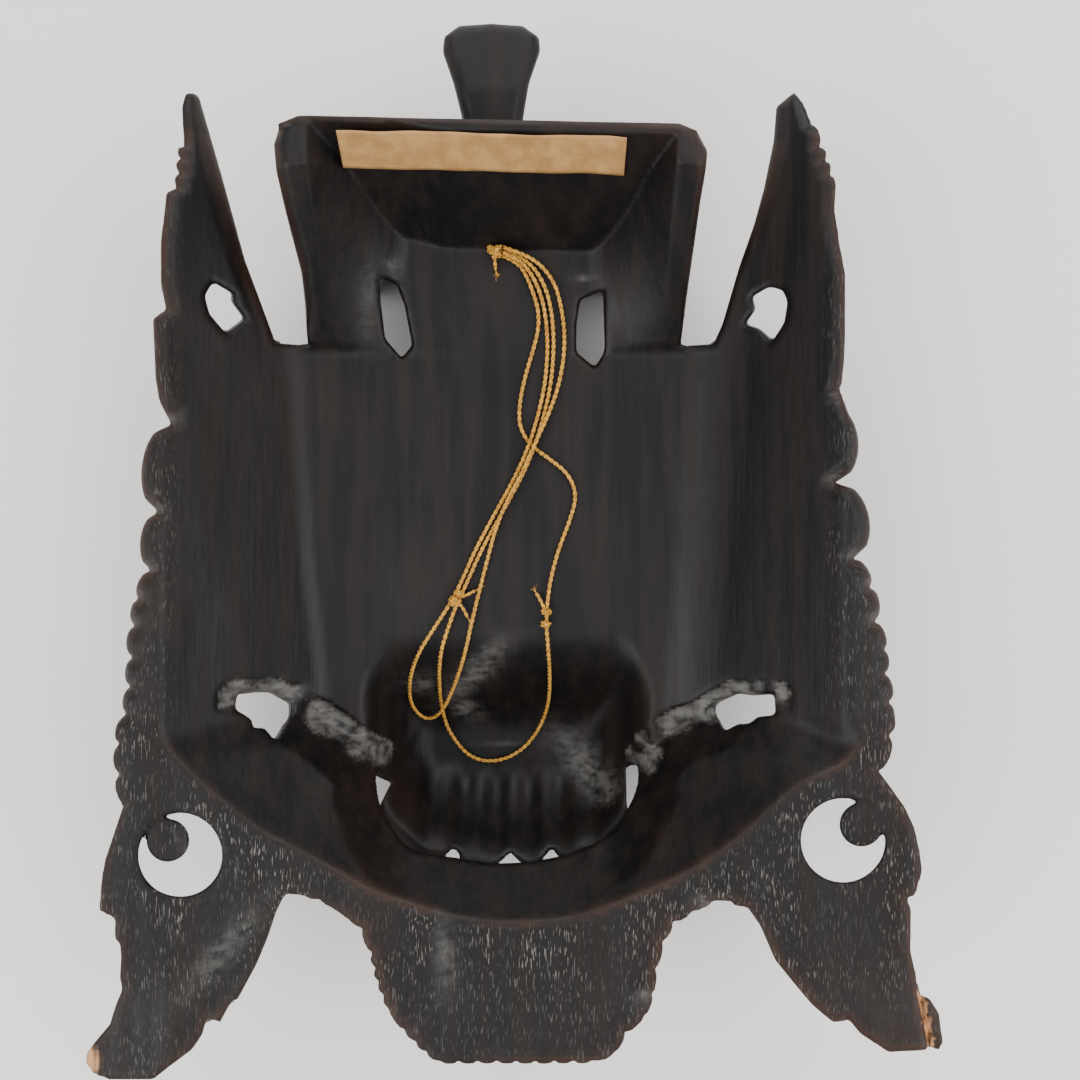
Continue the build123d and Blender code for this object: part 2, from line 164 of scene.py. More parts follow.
def scalloped(guide, pitch, depth):
    """Round lobes along a guide line, bulging to the left of the direction of travel."""
    out = []
    for (x0, y0), (x1, y1) in zip(guide, guide[1:]):
        run = math.hypot(x1 - x0, y1 - y0)
        count = max(1, round(run / pitch))
        nx, ny = -(y1 - y0) / run, (x1 - x0) / run
        for step in range(count):
            for k in range(8):
                t = (step + k / 8) / count
                bulge = depth * math.sqrt(max(0.0, 1 - (2 * k / 8 - 1) ** 2))
                out.append((x0 + (x1 - x0) * t + nx * bulge, y0 + (y1 - y0) * t + ny * bulge))
    return out


# ---- outlines seen from above
CROWN = [(-89.6, 76), (-88, 110), (-90.4, 129), (-92.4, 152), (-90.2, 159), (-82, 162.4), (63, 159.4),
    (70, 156.4), (74, 149), (72.6, 133), (69.6, 76)]
FINIAL = [(-21.5, 148), (-21.5, 170), (-25, 184), (-29.5, 197), (-29, 203), (-23, 207.5), (-10, 208.5),
    (3, 207.5), (9.5, 203), (10, 197), (5.5, 184), (3, 170), (3, 148)]
HOLLOW = smooth_loop([(-139, 240), (-139, 60), (-139, -17), (-139, -45), (-138.5, -59), (-137.5, -69),
    (-134, -80), (-122, -93), (-110.5, -102.5), (-97, -113), (-81, -121), (-57.5, -134), (-45, -139),
    (-25, -145), (-5.5, -147.5), (17.5, -146.5), (33, -142.5), (48.5, -136.5), (66.5, -128.5), (86, -115),
    (99, -103), (111.5, -93.5), (124, -88), (130, -83), (134, -75), (135, -53), (135.5, -28),
    (134.5, -16), (132, 0), (132, 60), (131, 240)], 4)
JAW_INNER = smooth_loop([(-93, -40), (-93, -67), (-80.5, -78.5), (-64, -92.5), (-61, -103), (-55.5, -114),
    (-48.5, -121.5), (-42.5, -124.5), (-27.5, -128), (-5.5, -131), (18, -128.5), (37, -121.5),
    (43.5, -117), (52, -105), (54.5, -93), (66, -80.5), (84.5, -69), (88, -40)], 4)
LEFT_EAR = [(-90, 60), (-90, 85), (-101.5, 84), (-105, 95), (-112, 116), (-120, 151), (-124, 168),
    (-126.5, 178.5), (-129, 180), (-131.5, 178), (-132.5, 172), (-132, 161), (-132, 157)]
LEFT_EAR_SCALLOPS = [(-132, 157), (-133, 146), (-133, 139)]
LEFT_EAR_LOW = [(-137, 137), (-137.5, 131), (-139, 117), (-139, 101), (-137.2, 91), (-142, 87),
    (-141.5, 76), (-141, 64), (-139.5, 55), (-135.5, 46)]
RIGHT_EAR = [(74, 60), (74, 85), (83.5, 84), (86.7, 91.5), (92.7, 114), (98.2, 131), (101.7, 144.5),
    (105.2, 163), (106.2, 178), (112.8, 182.5), (116.2, 176), (118.5, 168)]
RIGHT_EAR_SCALLOPS = [(118.5, 167), (121, 157), (124, 145), (125.5, 137)]
RIGHT_EAR_LOW = [(126, 130.5), (127.5, 117), (129.5, 105), (129.5, 93), (129.5, 82), (129.2, 70.5),
    (128.3, 62), (126, 55), (120, 54)]
LEFT_RIM_NOTCHES = [(-135.5, 46), (-140, 11.5), (-142.5, -11.5), (-147.5, -22.5), (-149, -33),
    (-149.7, -45.5), (-150.5, -57), (-152, -67.5), (-153, -78.5), (-153, -90), (-149.5, -103)]
RIGHT_RIM_NOTCHES = [(139.5, -89.5), (145, -75), (146.5, -63), (144.5, -52), (144.5, -42.5),
    (140.5, -31.5), (139, -18), (132.5, -7), (126, 23), (124, 53.6)]
LEFT_SCROLL = [(-151, -100), (-155, -112), (-159, -124), (-160.5, -134), (-161, -143), (-155, -146.3),
    (-155.3, -153.7), (-153.3, -156), (-152.9, -161.5), (-153.3, -169.2), (-152.2, -173.5), (-155, -180),
    (-157.2, -187.5), (-162.7, -194), (-166, -198.4), (-166, -202), (-163, -206.3), (-157, -208.5),
    (-140, -208.5), (-133, -203), (-125.4, -197.6), (-121, -191), (-119.6, -185.5), (-114.5, -187),
    (-110.2, -179), (-107.9, -178.5), (-100.5, -164.6), (-96, -153.7), (-92.8, -144), (-89.5, -137.5),
    (-80, -120), (-130, -90)]
RIGHT_SCROLL = [(139, -86), (145.7, -95), (151, -102.5), (155, -111), (157, -120), (158, -127.7),
    (155, -137.4), (151.9, -138.2), (153.8, -143), (153.8, -153), (153.5, -158.4), (155.8, -168),
    (156.6, -175.4), (161.4, -196.8), (144.9, -198.4), (134, -191), (129.4, -185.5), (123.6, -186.7),
    (115.4, -180), (111.5, -175.4), (101, -162.6), (94.8, -148.3), (90.2, -142), (84.7, -141.3),
    (78, -120), (120, -86)]
MENDED_TIP = [(156.5, -175.6), (160.5, -176.6), (164.7, -183.2), (165.9, -194), (164.7, -196.8), (161, -197)]
CRACK = [(157.2, -175), (161.7, -198)]
LEFT_HOLE = [(-121.5, 104), (-115, 100.5), (-115.6, 97.5), (-111.4, 91), (-117.5, 84.3), (-122.5, 91),
    (-124, 98)]
RIGHT_HOLE = [(97.5, 101), (103.5, 104), (108, 101.5), (109.5, 96.5), (108.5, 88.5), (104.5, 81.5),
    (100, 87.5), (95, 90), (98.7, 95.5)]
LEFT_SLOT = [(-57.6, 110.8), (-53.5, 109.5), (-50.3, 108.2), (-48, 100.9), (-45, 84), (-49.5, 78.6),
    (-56.4, 86.5), (-57.6, 101)]
RIGHT_SLOT = [(27, 103), (36.5, 106.6), (37.5, 84), (37.2, 80.8), (33.5, 74.8), (25.4, 81), (25.4, 93)]
LEFT_MOUTH = [(-114.5, -62.5), (-108.5, -62.8), (-103.5, -63.5), (-96.8, -69), (-96.5, -74), (-98, -80.5),
    (-99.5, -81.5), (-104, -77), (-108, -76.5), (-108.8, -73.5), (-114.5, -68.5)]
RIGHT_MOUTH = [(85.3, -69.5), (92.5, -63.8), (98.3, -64), (105.5, -62), (105.6, -70.8), (99.6, -72.2),
    (96.3, -75.2), (92.5, -75.8), (87, -79.5), (84.9, -73)]
FACE = [(-96, 84.2), (-96, -66), (-89, -77), (-79, -86), (-70, -94), (-67.5, -99), (-63, -104.5),
    (-57.5, -109), (-62.5, -120), (-58.5, -131), (-48.5, -140), (-31, -145), (-5, -146.5), (22, -143),
    (36, -138), (46, -131), (50, -124), (48.3, -117), (49, -103), (56, -97), (62, -91), (72, -83),
    (88, -71), (88, 84.2)]
LEFT_ROUND = (-129.2, -121.2, 16.2)      # the round holes in the scrolls: centre and radius
LEFT_CURL = (-134.0, -115.6, 8.2)        # the curl of wood left standing in each
RIGHT_ROUND = (127.0, -115.6, 16.3)
RIGHT_CURL = (134.0, -109.6, 8.4)
SCUFFS_AND_HIGHLIGHTS = [                               # lighter matt patches, partly scuffs and chips and partly painted highlights: x, y, half length, half width, lean, share
    (-21, -60, 18, 5.5, 0.8, 0.95), (-26, -77, 9, 5, -0.7, 0.8), (-44, -64, 8, 5, 0.2, 0.65),
    (33, -107, 22, 8, -0.85, 0.95), (-5, -95, 14, 1.0, 0.05, 0.35), (-112, -158, 22, 5, 0.86, 0.45),
    (-27, -159, 13, 3.5, 1.67, 0.45), (-124, -117, 8, 5, 1.2, 0.3), (-52, 116.5, 3, 2.4, 0.3, 0.5),
    (28.5, 112, 4.5, 1.8, 0, 0.45), (-62, 104, 17, 3.5, 1.4, 0.28), (74, -140, 5, 3, -0.6, 0.5),
    (50, -176, 3.5, 2.5, 1.2, 0.5)]
EYE = (9.8, 0.5, 542.0)                  # the walls of the openings lean away from this point


def lobed(notches, bulge):
    """A lobe between each two neighbouring notches, bulging to the left of the direction of travel."""
    out = []
    for start, end in zip(notches, notches[1:]):
        out += scalloped([start, end], 1e3, bulge * math.dist(start, end))
    return out


def ear_outlines():
    """The pierced ears, as one plan distance."""
    left = polygon_distance(LEFT_EAR + scalloped(LEFT_EAR_SCALLOPS, 6.2, -1.6) + LEFT_EAR_LOW)
    right = polygon_distance(RIGHT_EAR + scalloped(RIGHT_EAR_SCALLOPS, 7.0, 1.6) + RIGHT_EAR_LOW)
    return np.minimum(left, right)


def side_outline():
    """The side walls down to the lower jaw, with their lobed rims."""
    left = lobed(LEFT_RIM_NOTCHES, -0.25)
    right = lobed(RIGHT_RIM_NOTCHES[:8], -0.25) + lobed(RIGHT_RIM_NOTCHES[7:], -0.32)
    return [(-96, 70), (-136, 70)] + left + [(-130, -110), (118, -110)] + right + [(124, 70), (80, 70)]


def jaw_outline():
    """The lower jaw's outer outline, under the beard and scrolls."""
    return [(-150, -80), (-152, -98), (-130, -118), (-118, -130), (-90, -137.5), (-76, -139.5), (-64, -148),
            (62, -148), (77, -140.5), (88, -140), (112, -120), (133, -104), (141, -88), (141, -80)]


def beard_outline():
    """The flat beard plate, its edge cut in small lobes."""
    edge = [
        (-88, -136), (-76, -139), (-67, -143.5), (-60, -150.5), (-56, -160), (-53.5, -171), (-49.5, -181.5),
        (-43, -190), (-35, -198), (-29, -202.2), (30, -202.2), (39, -199), (43.5, -191), (51, -184.5),
        (54, -176), (55.2, -166), (58, -155.5), (62, -148), (69, -144), (78, -140)]
    return scalloped(edge, 7.4, -1.3) + [(78, -120), (-88, -120)]


def circle(x, y, radius):
    """Signed distance to a circle."""
    return np.hypot(X - x, Y - y) - radius


def crescent(ring, curl):
    """The round hole in a scroll with a curl of wood standing in it."""
    return np.maximum(circle(*ring), -circle(*curl))


def bump(x, y, width, height):
    """A soft round bump, 1 at its middle."""
    return bell(X - x, width, Y - y, height)


# distances and places that several parts of the carving share
FACE_MID_X = -5.0
ASIDE = np.abs(X - FACE_MID_X)
SIDES_EDGE = polygon_distance(side_outline())
EARS_EDGE = ear_outlines()
CROWN_EDGE = polygon_distance(CROWN)
HOLLOW_EDGE = polygon_distance(HOLLOW)
INNER_EDGE = polygon_distance(JAW_INNER)
MOUTHS_EDGE = union(LEFT_MOUTH, RIGHT_MOUTH)


# ---- the back of the carving
def floor_height():
    """The floor of the hollow along the middle, with the cords' bed left plain."""
    crown_floor = 57.7 + (Y - 68) * 0.149
    upper = 55 + (Y - 20) * 0.0724
    lower = 55 + (Y - 20) * 0.0414
    floor = np.where(Y > 78, crown_floor, np.where(Y > 20, upper, lower)) - 2.0 * fade(-Y, 0, 56)
    edge = np.maximum(ASIDE - 48, 0)
    wave = 0.45 * lattice(3, X, Y * 0.45, 17) * fade(edge, 0, 10)
    return floor + 0.0022 * edge * edge + wave - 0.25


def bowl_height():
    """The deep bowl behind nose and upper jaw, rounded like a spoon."""
    side = np.maximum(ASIDE - 34, 0)
    round_end = 0.06 * np.maximum(ASIDE - 45, 0) ** 2
    south = np.maximum(-106 + 0.006 * (X + 5) ** 2 - Y, 0)
    flutes = 1.3 * np.cos((X + 3) * 2 * math.pi / 15) * fade(-Y, 100, 116) * fade(54 - ASIDE, 0, 14)
    chisel = 1.3 * gouges(11, X, Y, 10, 19, 0.6) * fade(-Y, 44, 56) * fade(np.abs(X + 8), 34, 46)
    round_bowl = 14 + 0.050 * side * side + 0.031 * south * south + flutes + chisel
    north = 14 + (Y + 84 + round_end) * 1.0526
    return smax(round_bowl, north, 9) - 1.6


def mouth_ledge():
    """How much the upper lip is cut away towards the mouth, in rough chisel facets."""
    inside = -INNER_EDGE
    band = fade(6.5 - inside, 0, 3) * fade(inside, -9, -3)
    band = band * fade(Y, -104, -96) * fade(np.abs(X + 4), 46, 56) * fade(-Y, 58, 66)
    band = np.maximum(band, fade(7 - MOUTHS_EDGE, 0, 3) * fade(Y, -72, -64))
    facets = 1.9 + 1.6 * lattice(21, X, Y, 5.5) + 1.2 * lattice(22, X + Y, X - Y, 8)
    return band * np.maximum(facets, 0.2)


def main_back():
    """Height of the back of floor, side walls and ears."""
    left_wall = 60 + (LEFT_FOLD_X - X) * 1.07
    right_wall = 60 + (X - RIGHT_FOLD_X + 4) * 1.04
    floor = smin(floor_height(), bowl_height(), 11.0)
    hollow = smax(smax(floor, left_wall + 0.5 * lattice(5, X, Y * 0.4, 14), 4.0), right_wall, 12.0)
    hollow = smin(hollow - mouth_ledge(), np.full_like(X, RIM_Z), 2.5)
    rim = np.minimum(SIDES_EDGE, EARS_EDGE)
    bevel = 0.75 * np.maximum(rim + 5.5, 0) * fade(np.abs(X + 3.5), 100, 112) * fade(Y, -76, -66)
    return hollow - bevel


def upper_back():
    """Height of the back of everything above the lower jaw, with the crown."""
    crown = fade(Y, 78, 85) * (CROWN_EDGE < 3)
    return main_back() * (1 - crown) + crown_back() * crown


def crown_back():
    """Height of the back of the crown: its lip, and the pocket inside it."""
    lip = np.minimum(floor_height() + 1.5 + np.maximum(Y - 81, 0) * 0.74, LIP_Z)
    down = np.clip((124 - Y) / 56, 0, 1)
    foot = 123.6 - 0.02 * (X + 8) + 3.2 * fade(-X, 26, 50)
    end_wall = 65.6 + (Y - foot) * 1.62
    rise = lip - floor_height()
    left_wall = floor_height() + rise * (-48 - 6 * down - X) / (31 - 3 * down)
    right_wall = floor_height() + rise * (X - 33 - 6 * down) / (29 - 4 * down)
    pocket = smax(smax(smax(floor_height(), left_wall, 4), right_wall, 5), end_wall, 0.6)
    chamfer = lip - 0.9 * np.maximum(CROWN_EDGE + 3.4 + 1.8 * fade(-X, 60, 80), 0) * fade(Y, 84, 100)
    upper_end = np.maximum(chamfer, lip - 1.6 * np.maximum(CROWN_EDGE + 1.6, 0))
    chamfer = np.where(Y > 156 - 0.02 * X, upper_end, chamfer)
    return smin(smin(pocket, lip, 0.8), chamfer, 0.8)


def jaw_back():
    """Height of the back of the lower jaw, rim, beard and scrolls."""
    depth = -HOLLOW_EDGE
    inner = INNER_EDGE
    slope = 1.1 + 0.35 * fade(-Y, 70, 130)
    steep = (0.9 + 1.0 * fade(Y, -114, -98)) * np.maximum(13 - inner, 0) * fade(np.abs(X + 4), 34, 52)
    inside = smin(RIM_Z - slope * depth - steep, np.full_like(X, RIM_Z), 1.4)
    uneven = 0.5 * lattice(31, X, Y * 0.5, 11) + 0.25 * lattice(32, X, Y * 0.3, 4)
    spoon = 3.4 * bell(X + 105 - (Y + 165) * 0.62, 9, Y + 162, 24)
    beard_gouge = 2.2 * bell(X + 35 + (Y + 160) * 0.1, 6.5, Y + 158, 17)
    bite = 1.6 * bump(73, -139, 6, 5) + 1.8 * bump(49, -176, 4, 5)
    crack = 3.0 * np.maximum(1 - np.abs(line_distance(CRACK)) / 1.5, 0)
    outside = fade(-depth, 0, 6)
    return inside + (uneven - spoon - beard_gouge - bite - crack) * outside


def rim_share():
    """How far the side walls have run over into the rim of the jaw, from 0 to 1."""
    return fade(-Y, 66, 86) * (INNER_EDGE > 0) * (np.abs(X + 3.5) > 84)


def line_distance(ends):
    """Signed distance from the line through two points, beside its length only."""
    (x0, y0), (x1, y1) = ends
    run = math.hypot(x1 - x0, y1 - y0)
    off = ((X - x0) * (y1 - y0) - (Y - y0) * (x1 - x0)) / run
    along = ((X - x0) * (x1 - x0) + (Y - y0) * (y1 - y0)) / run
    return np.where((along > -2) & (along < run + 2), off, 99)


# ---- the front of the carving
def face_front():
    """Height of the front of the face: brows, closed eyes, nose, cheeks and muzzle."""
    x = X - FACE_MID_X
    side = ASIDE
    front = 33 + 0.0019 * x * x
    brow_y = 57 + 9 * np.sin(math.pi * np.clip(side, 0, 78) / 78)
    front -= 9 * bell(Y - brow_y, 6.5) * fade(82 - side, 0, 16)
    hairs = np.cos((side + 0.8 * (Y - brow_y)) * 2 * math.pi / 6.5)
    front += 0.9 * hairs * bell(Y - brow_y, 6) * fade(80 - side, 0, 16) * fade(side, 8, 16)
    eye = np.sqrt(((side - 40) / 23) ** 2 + ((Y - 35) / 12.5) ** 2)
    front += 5 * bell(eye, 1.5)
    front -= 9.5 * np.sqrt(np.maximum(1 - eye * eye, 0))
    front -= 2.6 * bell(eye - 1.16, 0.11)
    lid = Y - 31 + 4 * (1 - ((side - 40) / 23) ** 2)
    front += 1.8 * bell(lid, 1.3) * fade(1 - eye, 0, 0.12)
    nose_w = np.interp(Y, [-50, -30, 20, 60], [19, 16, 10, 7])
    nose_h = np.interp(Y, [-56, -46, -36, 0, 40, 62], [4, 22, 26, 18, 8, 2])
    front -= nose_h * np.exp(-np.abs(x / nose_w) ** 2.6)
    front -= 15 * bell(side - 17, 8, Y + 38, 10)
    front += 7 * bell(side - 11, 4, Y + 47, 4)
    front -= 10 * bell(side - 52, 22, Y + 10, 27)
    muzzle = ((side / 62) ** 3 + (np.abs(Y + 92) / 50) ** 3) ** (1 / 3)
    shape = 0.8 + 44 * muzzle ** 5
    shape -= 2.5 * bell(muzzle - 0.80, 0.035) * fade(-Y, 96, 108)
    shape += 2.4 * bell(muzzle - 0.875, 0.02) * fade(-Y, 100, 110)
    tooth = np.abs(np.mod(x / 11.5, 1) - 0.5) * 11.5
    shape += 2.2 * bell(tooth - 5.75, 1.1) * fade(muzzle, 0.87, 0.9) * fade(-Y, 100, 110)
    mouth_y = -108 + 7 * (side / 36) ** 2
    gap = Y - mouth_y
    width = fade(40 - side, 0, 8)
    shape += (5.0 * bell(gap, 1.5) + 2.6 * bell(np.abs(gap) - 13, 4)) * width
    shape += 1.2 * fade(np.abs(gap), 1, 12) * width
    shape += 3.0 * bell(x, 4.5, gap - 22, 9)
    shape = np.maximum(shape, 0.6)
    return smin(front, shape, 7)


def locks(direction):
    """Flowing ridges like carved hair, 1 high at most."""
    flow = X + direction * (7 * np.sin(Y / 23) + 3 * np.sin(Y / 9.5 + 1))
    return 0.5 + 0.5 * np.cos(flow * 2 * math.pi / 8.5)


def rings(distance, pitch):
    """Ridges that run along an outline, 1 high at most."""
    return (0.5 + 0.5 * np.cos(distance * 2 * math.pi / pitch)) * fade(np.abs(distance), 1.5, 4)


def main_front(back):
    """Height of the front of the upper part."""
    beside = fade(np.abs(X + 3.5), 84, 98)
    thick = 17 + 5 * fade(back, 96, 107)
    wall = back - thick + 2.6 * locks(np.sign(X)) * fade(-Y, -84, -70)
    wall = wall + 2.6 * rings(EARS_EDGE, 8.5) * fade(Y, 70, 84)
    face = np.minimum(face_front(), back - 11)
    face = np.where(Y > 64, np.minimum(41, back - 13), face)
    return face * (1 - beside) + wall * beside


def crown_front():
    """Height of the front of the crown: a band of petals with a rosette."""
    front = np.interp(Y, [76, 106, 111, 117, 132, 150, 164], [42, 38, 12, 0.8, 0.8, 28, 50])
    x = X + 9.5
    cell = np.mod(x / 16.5 + 0.5, 1) - 0.5
    arch = (Y - 150 + 22 * (2 * cell) ** 2)
    petals = 1.9 * bell(arch, 1.8) + 1.9 * bell((np.abs(cell) - 0.5) * 16.5, 1.5) * fade(-arch, 0, 4)
    front = front + petals * fade(Y, 118, 121)
    front = front + 1.6 * bell(Y - 118.5, 1.4)
    radius = np.hypot(x, Y - 128)
    rosette = 0.8 + 1.4 * (0.5 - 0.5 * np.cos(radius * 2 * math.pi / 6.5))
    return np.where(radius < 13, rosette, np.maximum(front, 0.6))


def jaw_front(back):
    """Height of the front of the lower jaw, rim, beard and scrolls."""
    depth = -HOLLOW_EDGE
    front = np.maximum(58 + 26 * fade(depth, 22, -6), back - 27)
    chin = 10 * bump(-5, -143, 30, 15)
    lip = 5 * bell(INNER_EDGE - 12, 4) * fade(-Y, 84, 96)
    tooth = np.abs(np.mod((X + 5) / 11.0 + 0.5, 1) - 0.5) * 11.0
    teeth = 1.8 * bell(tooth - 5.5, 1.0) * fade(7 - INNER_EDGE, 0, 2)
    around = np.minimum(circle(*LEFT_ROUND), circle(*RIGHT_ROUND))
    curls = 2.6 * rings(around, 8.0) * fade(np.abs(X), 92, 104)
    beard = 2.6 * locks(0.6 * np.sign(X + 2)) * fade(-Y, 146, 152) * fade(92 - np.abs(X), 0, 8)
    side = 2.4 * locks(np.sign(X)) * fade(Y, -100, -84) * fade(np.abs(X), 100, 112)
    return np.minimum(np.maximum(front - chin - lip + teeth + curls + beard + side, 40), back - 11)


# ---- build the field
def rounded(a, b, radius):
    """Intersection of two distances with a rounded edge."""
    u, v = np.maximum(a + radius, 0), np.maximum(b + radius, 0)
    return np.minimum(np.maximum(a, b), -radius) + np.sqrt(u * u + v * v)


def slope_norm(height):
    """Length of the surface normal of a height field, to turn heights into distances."""
    gx, gy = np.gradient(height, STEP)
    return np.sqrt(1 + np.minimum(gx * gx + gy * gy, 9.0)).astype(np.float32)


def leaning(plan, back):
    """A plan distance at every height below the back, its walls leaning away from EYE."""
    out = np.empty(X.shape + (len(Plan.zs),), np.float32)
    last_i, last_j = plan.shape[0] - 2, plan.shape[1] - 2
    for k, z in enumerate(Plan.zs):
        scale = (EYE[2] - np.maximum(back, z)) / (EYE[2] - z)
        u = ((X - EYE[0]) * scale + EYE[0] - Plan.low[0]) / STEP
        v = ((Y - EYE[1]) * scale + EYE[1] - Plan.low[1]) / STEP
        i = np.clip(u.astype(np.int32), 0, last_i)
        j = np.clip(v.astype(np.int32), 0, last_j)
        fu, fv = u - i, v - j
        low = plan[i, j] * (1 - fu) + plan[i + 1, j] * fu
        high = plan[i, j + 1] * (1 - fu) + plan[i + 1, j + 1] * fu
        out[:, :, k] = low * (1 - fv) + high * fv
    return out


def slab(outline, openings, back, front, radius):
    """Solid between two height fields inside a plan outline, with openings through it."""
    back, front = back.astype(np.float32), front.astype(np.float32)
    plan = outline if openings is None else np.maximum(outline, -openings)
    walls = np.maximum(leaning(plan.astype(np.float32), back), outline[:, :, None])
    top = (Z - back[:, :, None]) / slope_norm(back)[:, :, None]
    bottom = (front[:, :, None] - Z) / slope_norm(front)[:, :, None]
    return rounded(rounded(walls, top, radius), bottom, radius).astype(np.float32)


def notched(outline, places):
    """An outline with small pointed notches in its lower edge, each given by x, half width and depth."""
    for x, half, depth in places:
        edge_y = -146 + 0.011 * (x + 5) ** 2
        left, right, low, high = x - half, x + half, edge_y - 6, edge_y + 0.5
        cut = [(left, low), (left, high), (x, edge_y + depth), (right, high), (right, low)]
        outline = np.maximum(outline, -polygon_distance(cut))
    return outline


def upper_outline():
    """Plan distance of floor, side walls and ears."""
    face = notched(polygon_distance(FACE), [(-29, 3, 2.8), (-3.5, 8, 7), (15, 4, 4.5)])
    sides = np.maximum(SIDES_EDGE, JAW_SPLIT_Y - 3 - Y)
    sides = np.maximum(sides, -np.maximum(LEFT_FOLD_X + 2 - X, X - RIGHT_FOLD_X + 2))
    wings = np.maximum(EARS_EDGE, 40 - Y)
    beside_left = np.maximum(np.maximum(X + 87, -102 - X), 84.2 - Y)
    beside_right = np.maximum(np.maximum(X - 84, 66 - X), 84.2 - Y)
    wings = np.maximum(wings, -np.minimum(beside_left, beside_right))
    return np.minimum(face, np.minimum(sides, wings)).astype(np.float32)


def carve():
    """The whole carved mask as one field, with the number of its section at each point."""
    openings = np.minimum(union(LEFT_SLOT, RIGHT_SLOT, LEFT_HOLE, RIGHT_HOLE), MOUTHS_EDGE)
    share = rim_share()
    back, jaw_top = upper_back(), jaw_back()
    back = (back * (1 - share) + jaw_top * share).astype(np.float32)
    jaw_top = np.where(share > 0, back, jaw_top).astype(np.float32)
    outline = np.minimum(upper_outline(), CROWN_EDGE).astype(np.float32)
    crown = fade(Y, 76, 80) * (CROWN_EDGE < 3)
    front = main_front(back) * (1 - crown) + crown_front() * crown
    upper = slab(outline, openings, back, front, 2.2)

    rims = np.maximum(SIDES_EDGE, Y + 70)
    plates = np.minimum(union(LEFT_SCROLL, RIGHT_SCROLL, MENDED_TIP), rims)
    plates = np.minimum(plates, union(beard_outline(), jaw_outline()) + 0.8)
    plates = np.maximum(plates, -INNER_EDGE)
    holes = np.minimum(crescent(LEFT_ROUND, LEFT_CURL), crescent(RIGHT_ROUND, RIGHT_CURL))
    jaw = slab(plates, np.minimum(holes, MOUTHS_EDGE), jaw_top, jaw_front(jaw_top), 1.4)

    middle = np.abs(X + 9.75)
    edge = np.maximum(polygon_distance(FINIAL) + 3.5, 0)
    knob_top = 94 - 0.9 * edge - 0.15 * np.maximum(180 - Y, 0)
    knob_low = 58 + 0.9 * edge + 0.15 * np.maximum(180 - Y, 0) + 0.01 * middle ** 2
    knob = slab(polygon_distance(FINIAL), None, knob_top, knob_low, 1.2)
    knob = np.maximum(knob, FINIAL_LOW_Y - Y[:, :, None])

    blend = (2.0 - 1.9 * fade(share, 0, 0.15)).astype(np.float32)[:, :, None]
    field = np.minimum(smin(upper, jaw, blend), knob)
    height = np.where(jaw.min(axis=2) < upper.min(axis=2), jaw_top, back)
    marks = surface_marks(height, np.minimum(outline, plates))
    return field, section_numbers(jaw, upper, knob, field), height, marks


def surface_marks(height, outline):
    """How sawn, worn and bare the wood is at each point seen from the back, and how much it is painted
    lighter for dust and for painted highlights, each from 0 to 1.
    """
    hollow = HOLLOW_EDGE
    sawn = fade(hollow, -1, 4) * fade(-Y, 55, 75) * (1 - 0.6 * fade(-Y, 160, 185))
    sawn = np.maximum(sawn, 0.4 * fade(height, 98, 106) * fade(np.abs(X), 100, 112) * fade(Y, -75, -60))
    worn = 0.7 * fade(outline, -5, -0.5) * fade(height, 62, 84) * (Y < 163)
    worn = np.maximum(worn, 0.5 * fade(-np.abs(hollow), -2.5, -0.5) * fade(-Y, 70, 85))
    bare = bell(X + 165, 4.5, Y + 201, 6)
    bare = np.maximum(bare, 0.9 * np.maximum(1 - np.abs(line_distance(CRACK)) / 2.2, 0))
    # the chiselled ledge over the mouth is painted lighter, partly dust and partly a painted highlight
    dust_and_highlight = 0.9 * fade(mouth_ledge(), 0.6, 2.0)
    bowl = fade(-INNER_EDGE, 0, 3)
    # patches painted lighter, partly scuffs and chips and partly painted highlights; those in the bowl stay
    # inside the jaw's inner edge
    for x, y, along, across, lean, share in SCUFFS_AND_HIGHLIGHTS:
        c, s = math.cos(lean), math.sin(lean)
        u, v = (X - x) * c + (Y - y) * s, (Y - y) * c - (X - x) * s
        patch = share * bell(u, along, v, across)
        dust_and_highlight = np.maximum(dust_and_highlight, patch * (bowl if math.hypot(x + 5, y + 90) < 55 else 1))
    # painted highlights: small lighter patches at the notches of the rim's lobes
    for x, y in LEFT_RIM_NOTCHES[:5] + RIGHT_RIM_NOTCHES[5:]:
        dust_and_highlight = np.maximum(dust_and_highlight, 0.5 * bump(x, y + 2, 3.2, 2.0))
    return np.stack([sawn, worn, bare, dust_and_highlight], axis=-1).astype(np.float32)


SECTIONS = ["face_plate", "nose", "snout", "crown", "crown_finial", "left_side", "right_side", "left_ear",
            "right_ear", "lower_jaw", "beard", "left_scroll", "right_scroll", "mended_tip"]


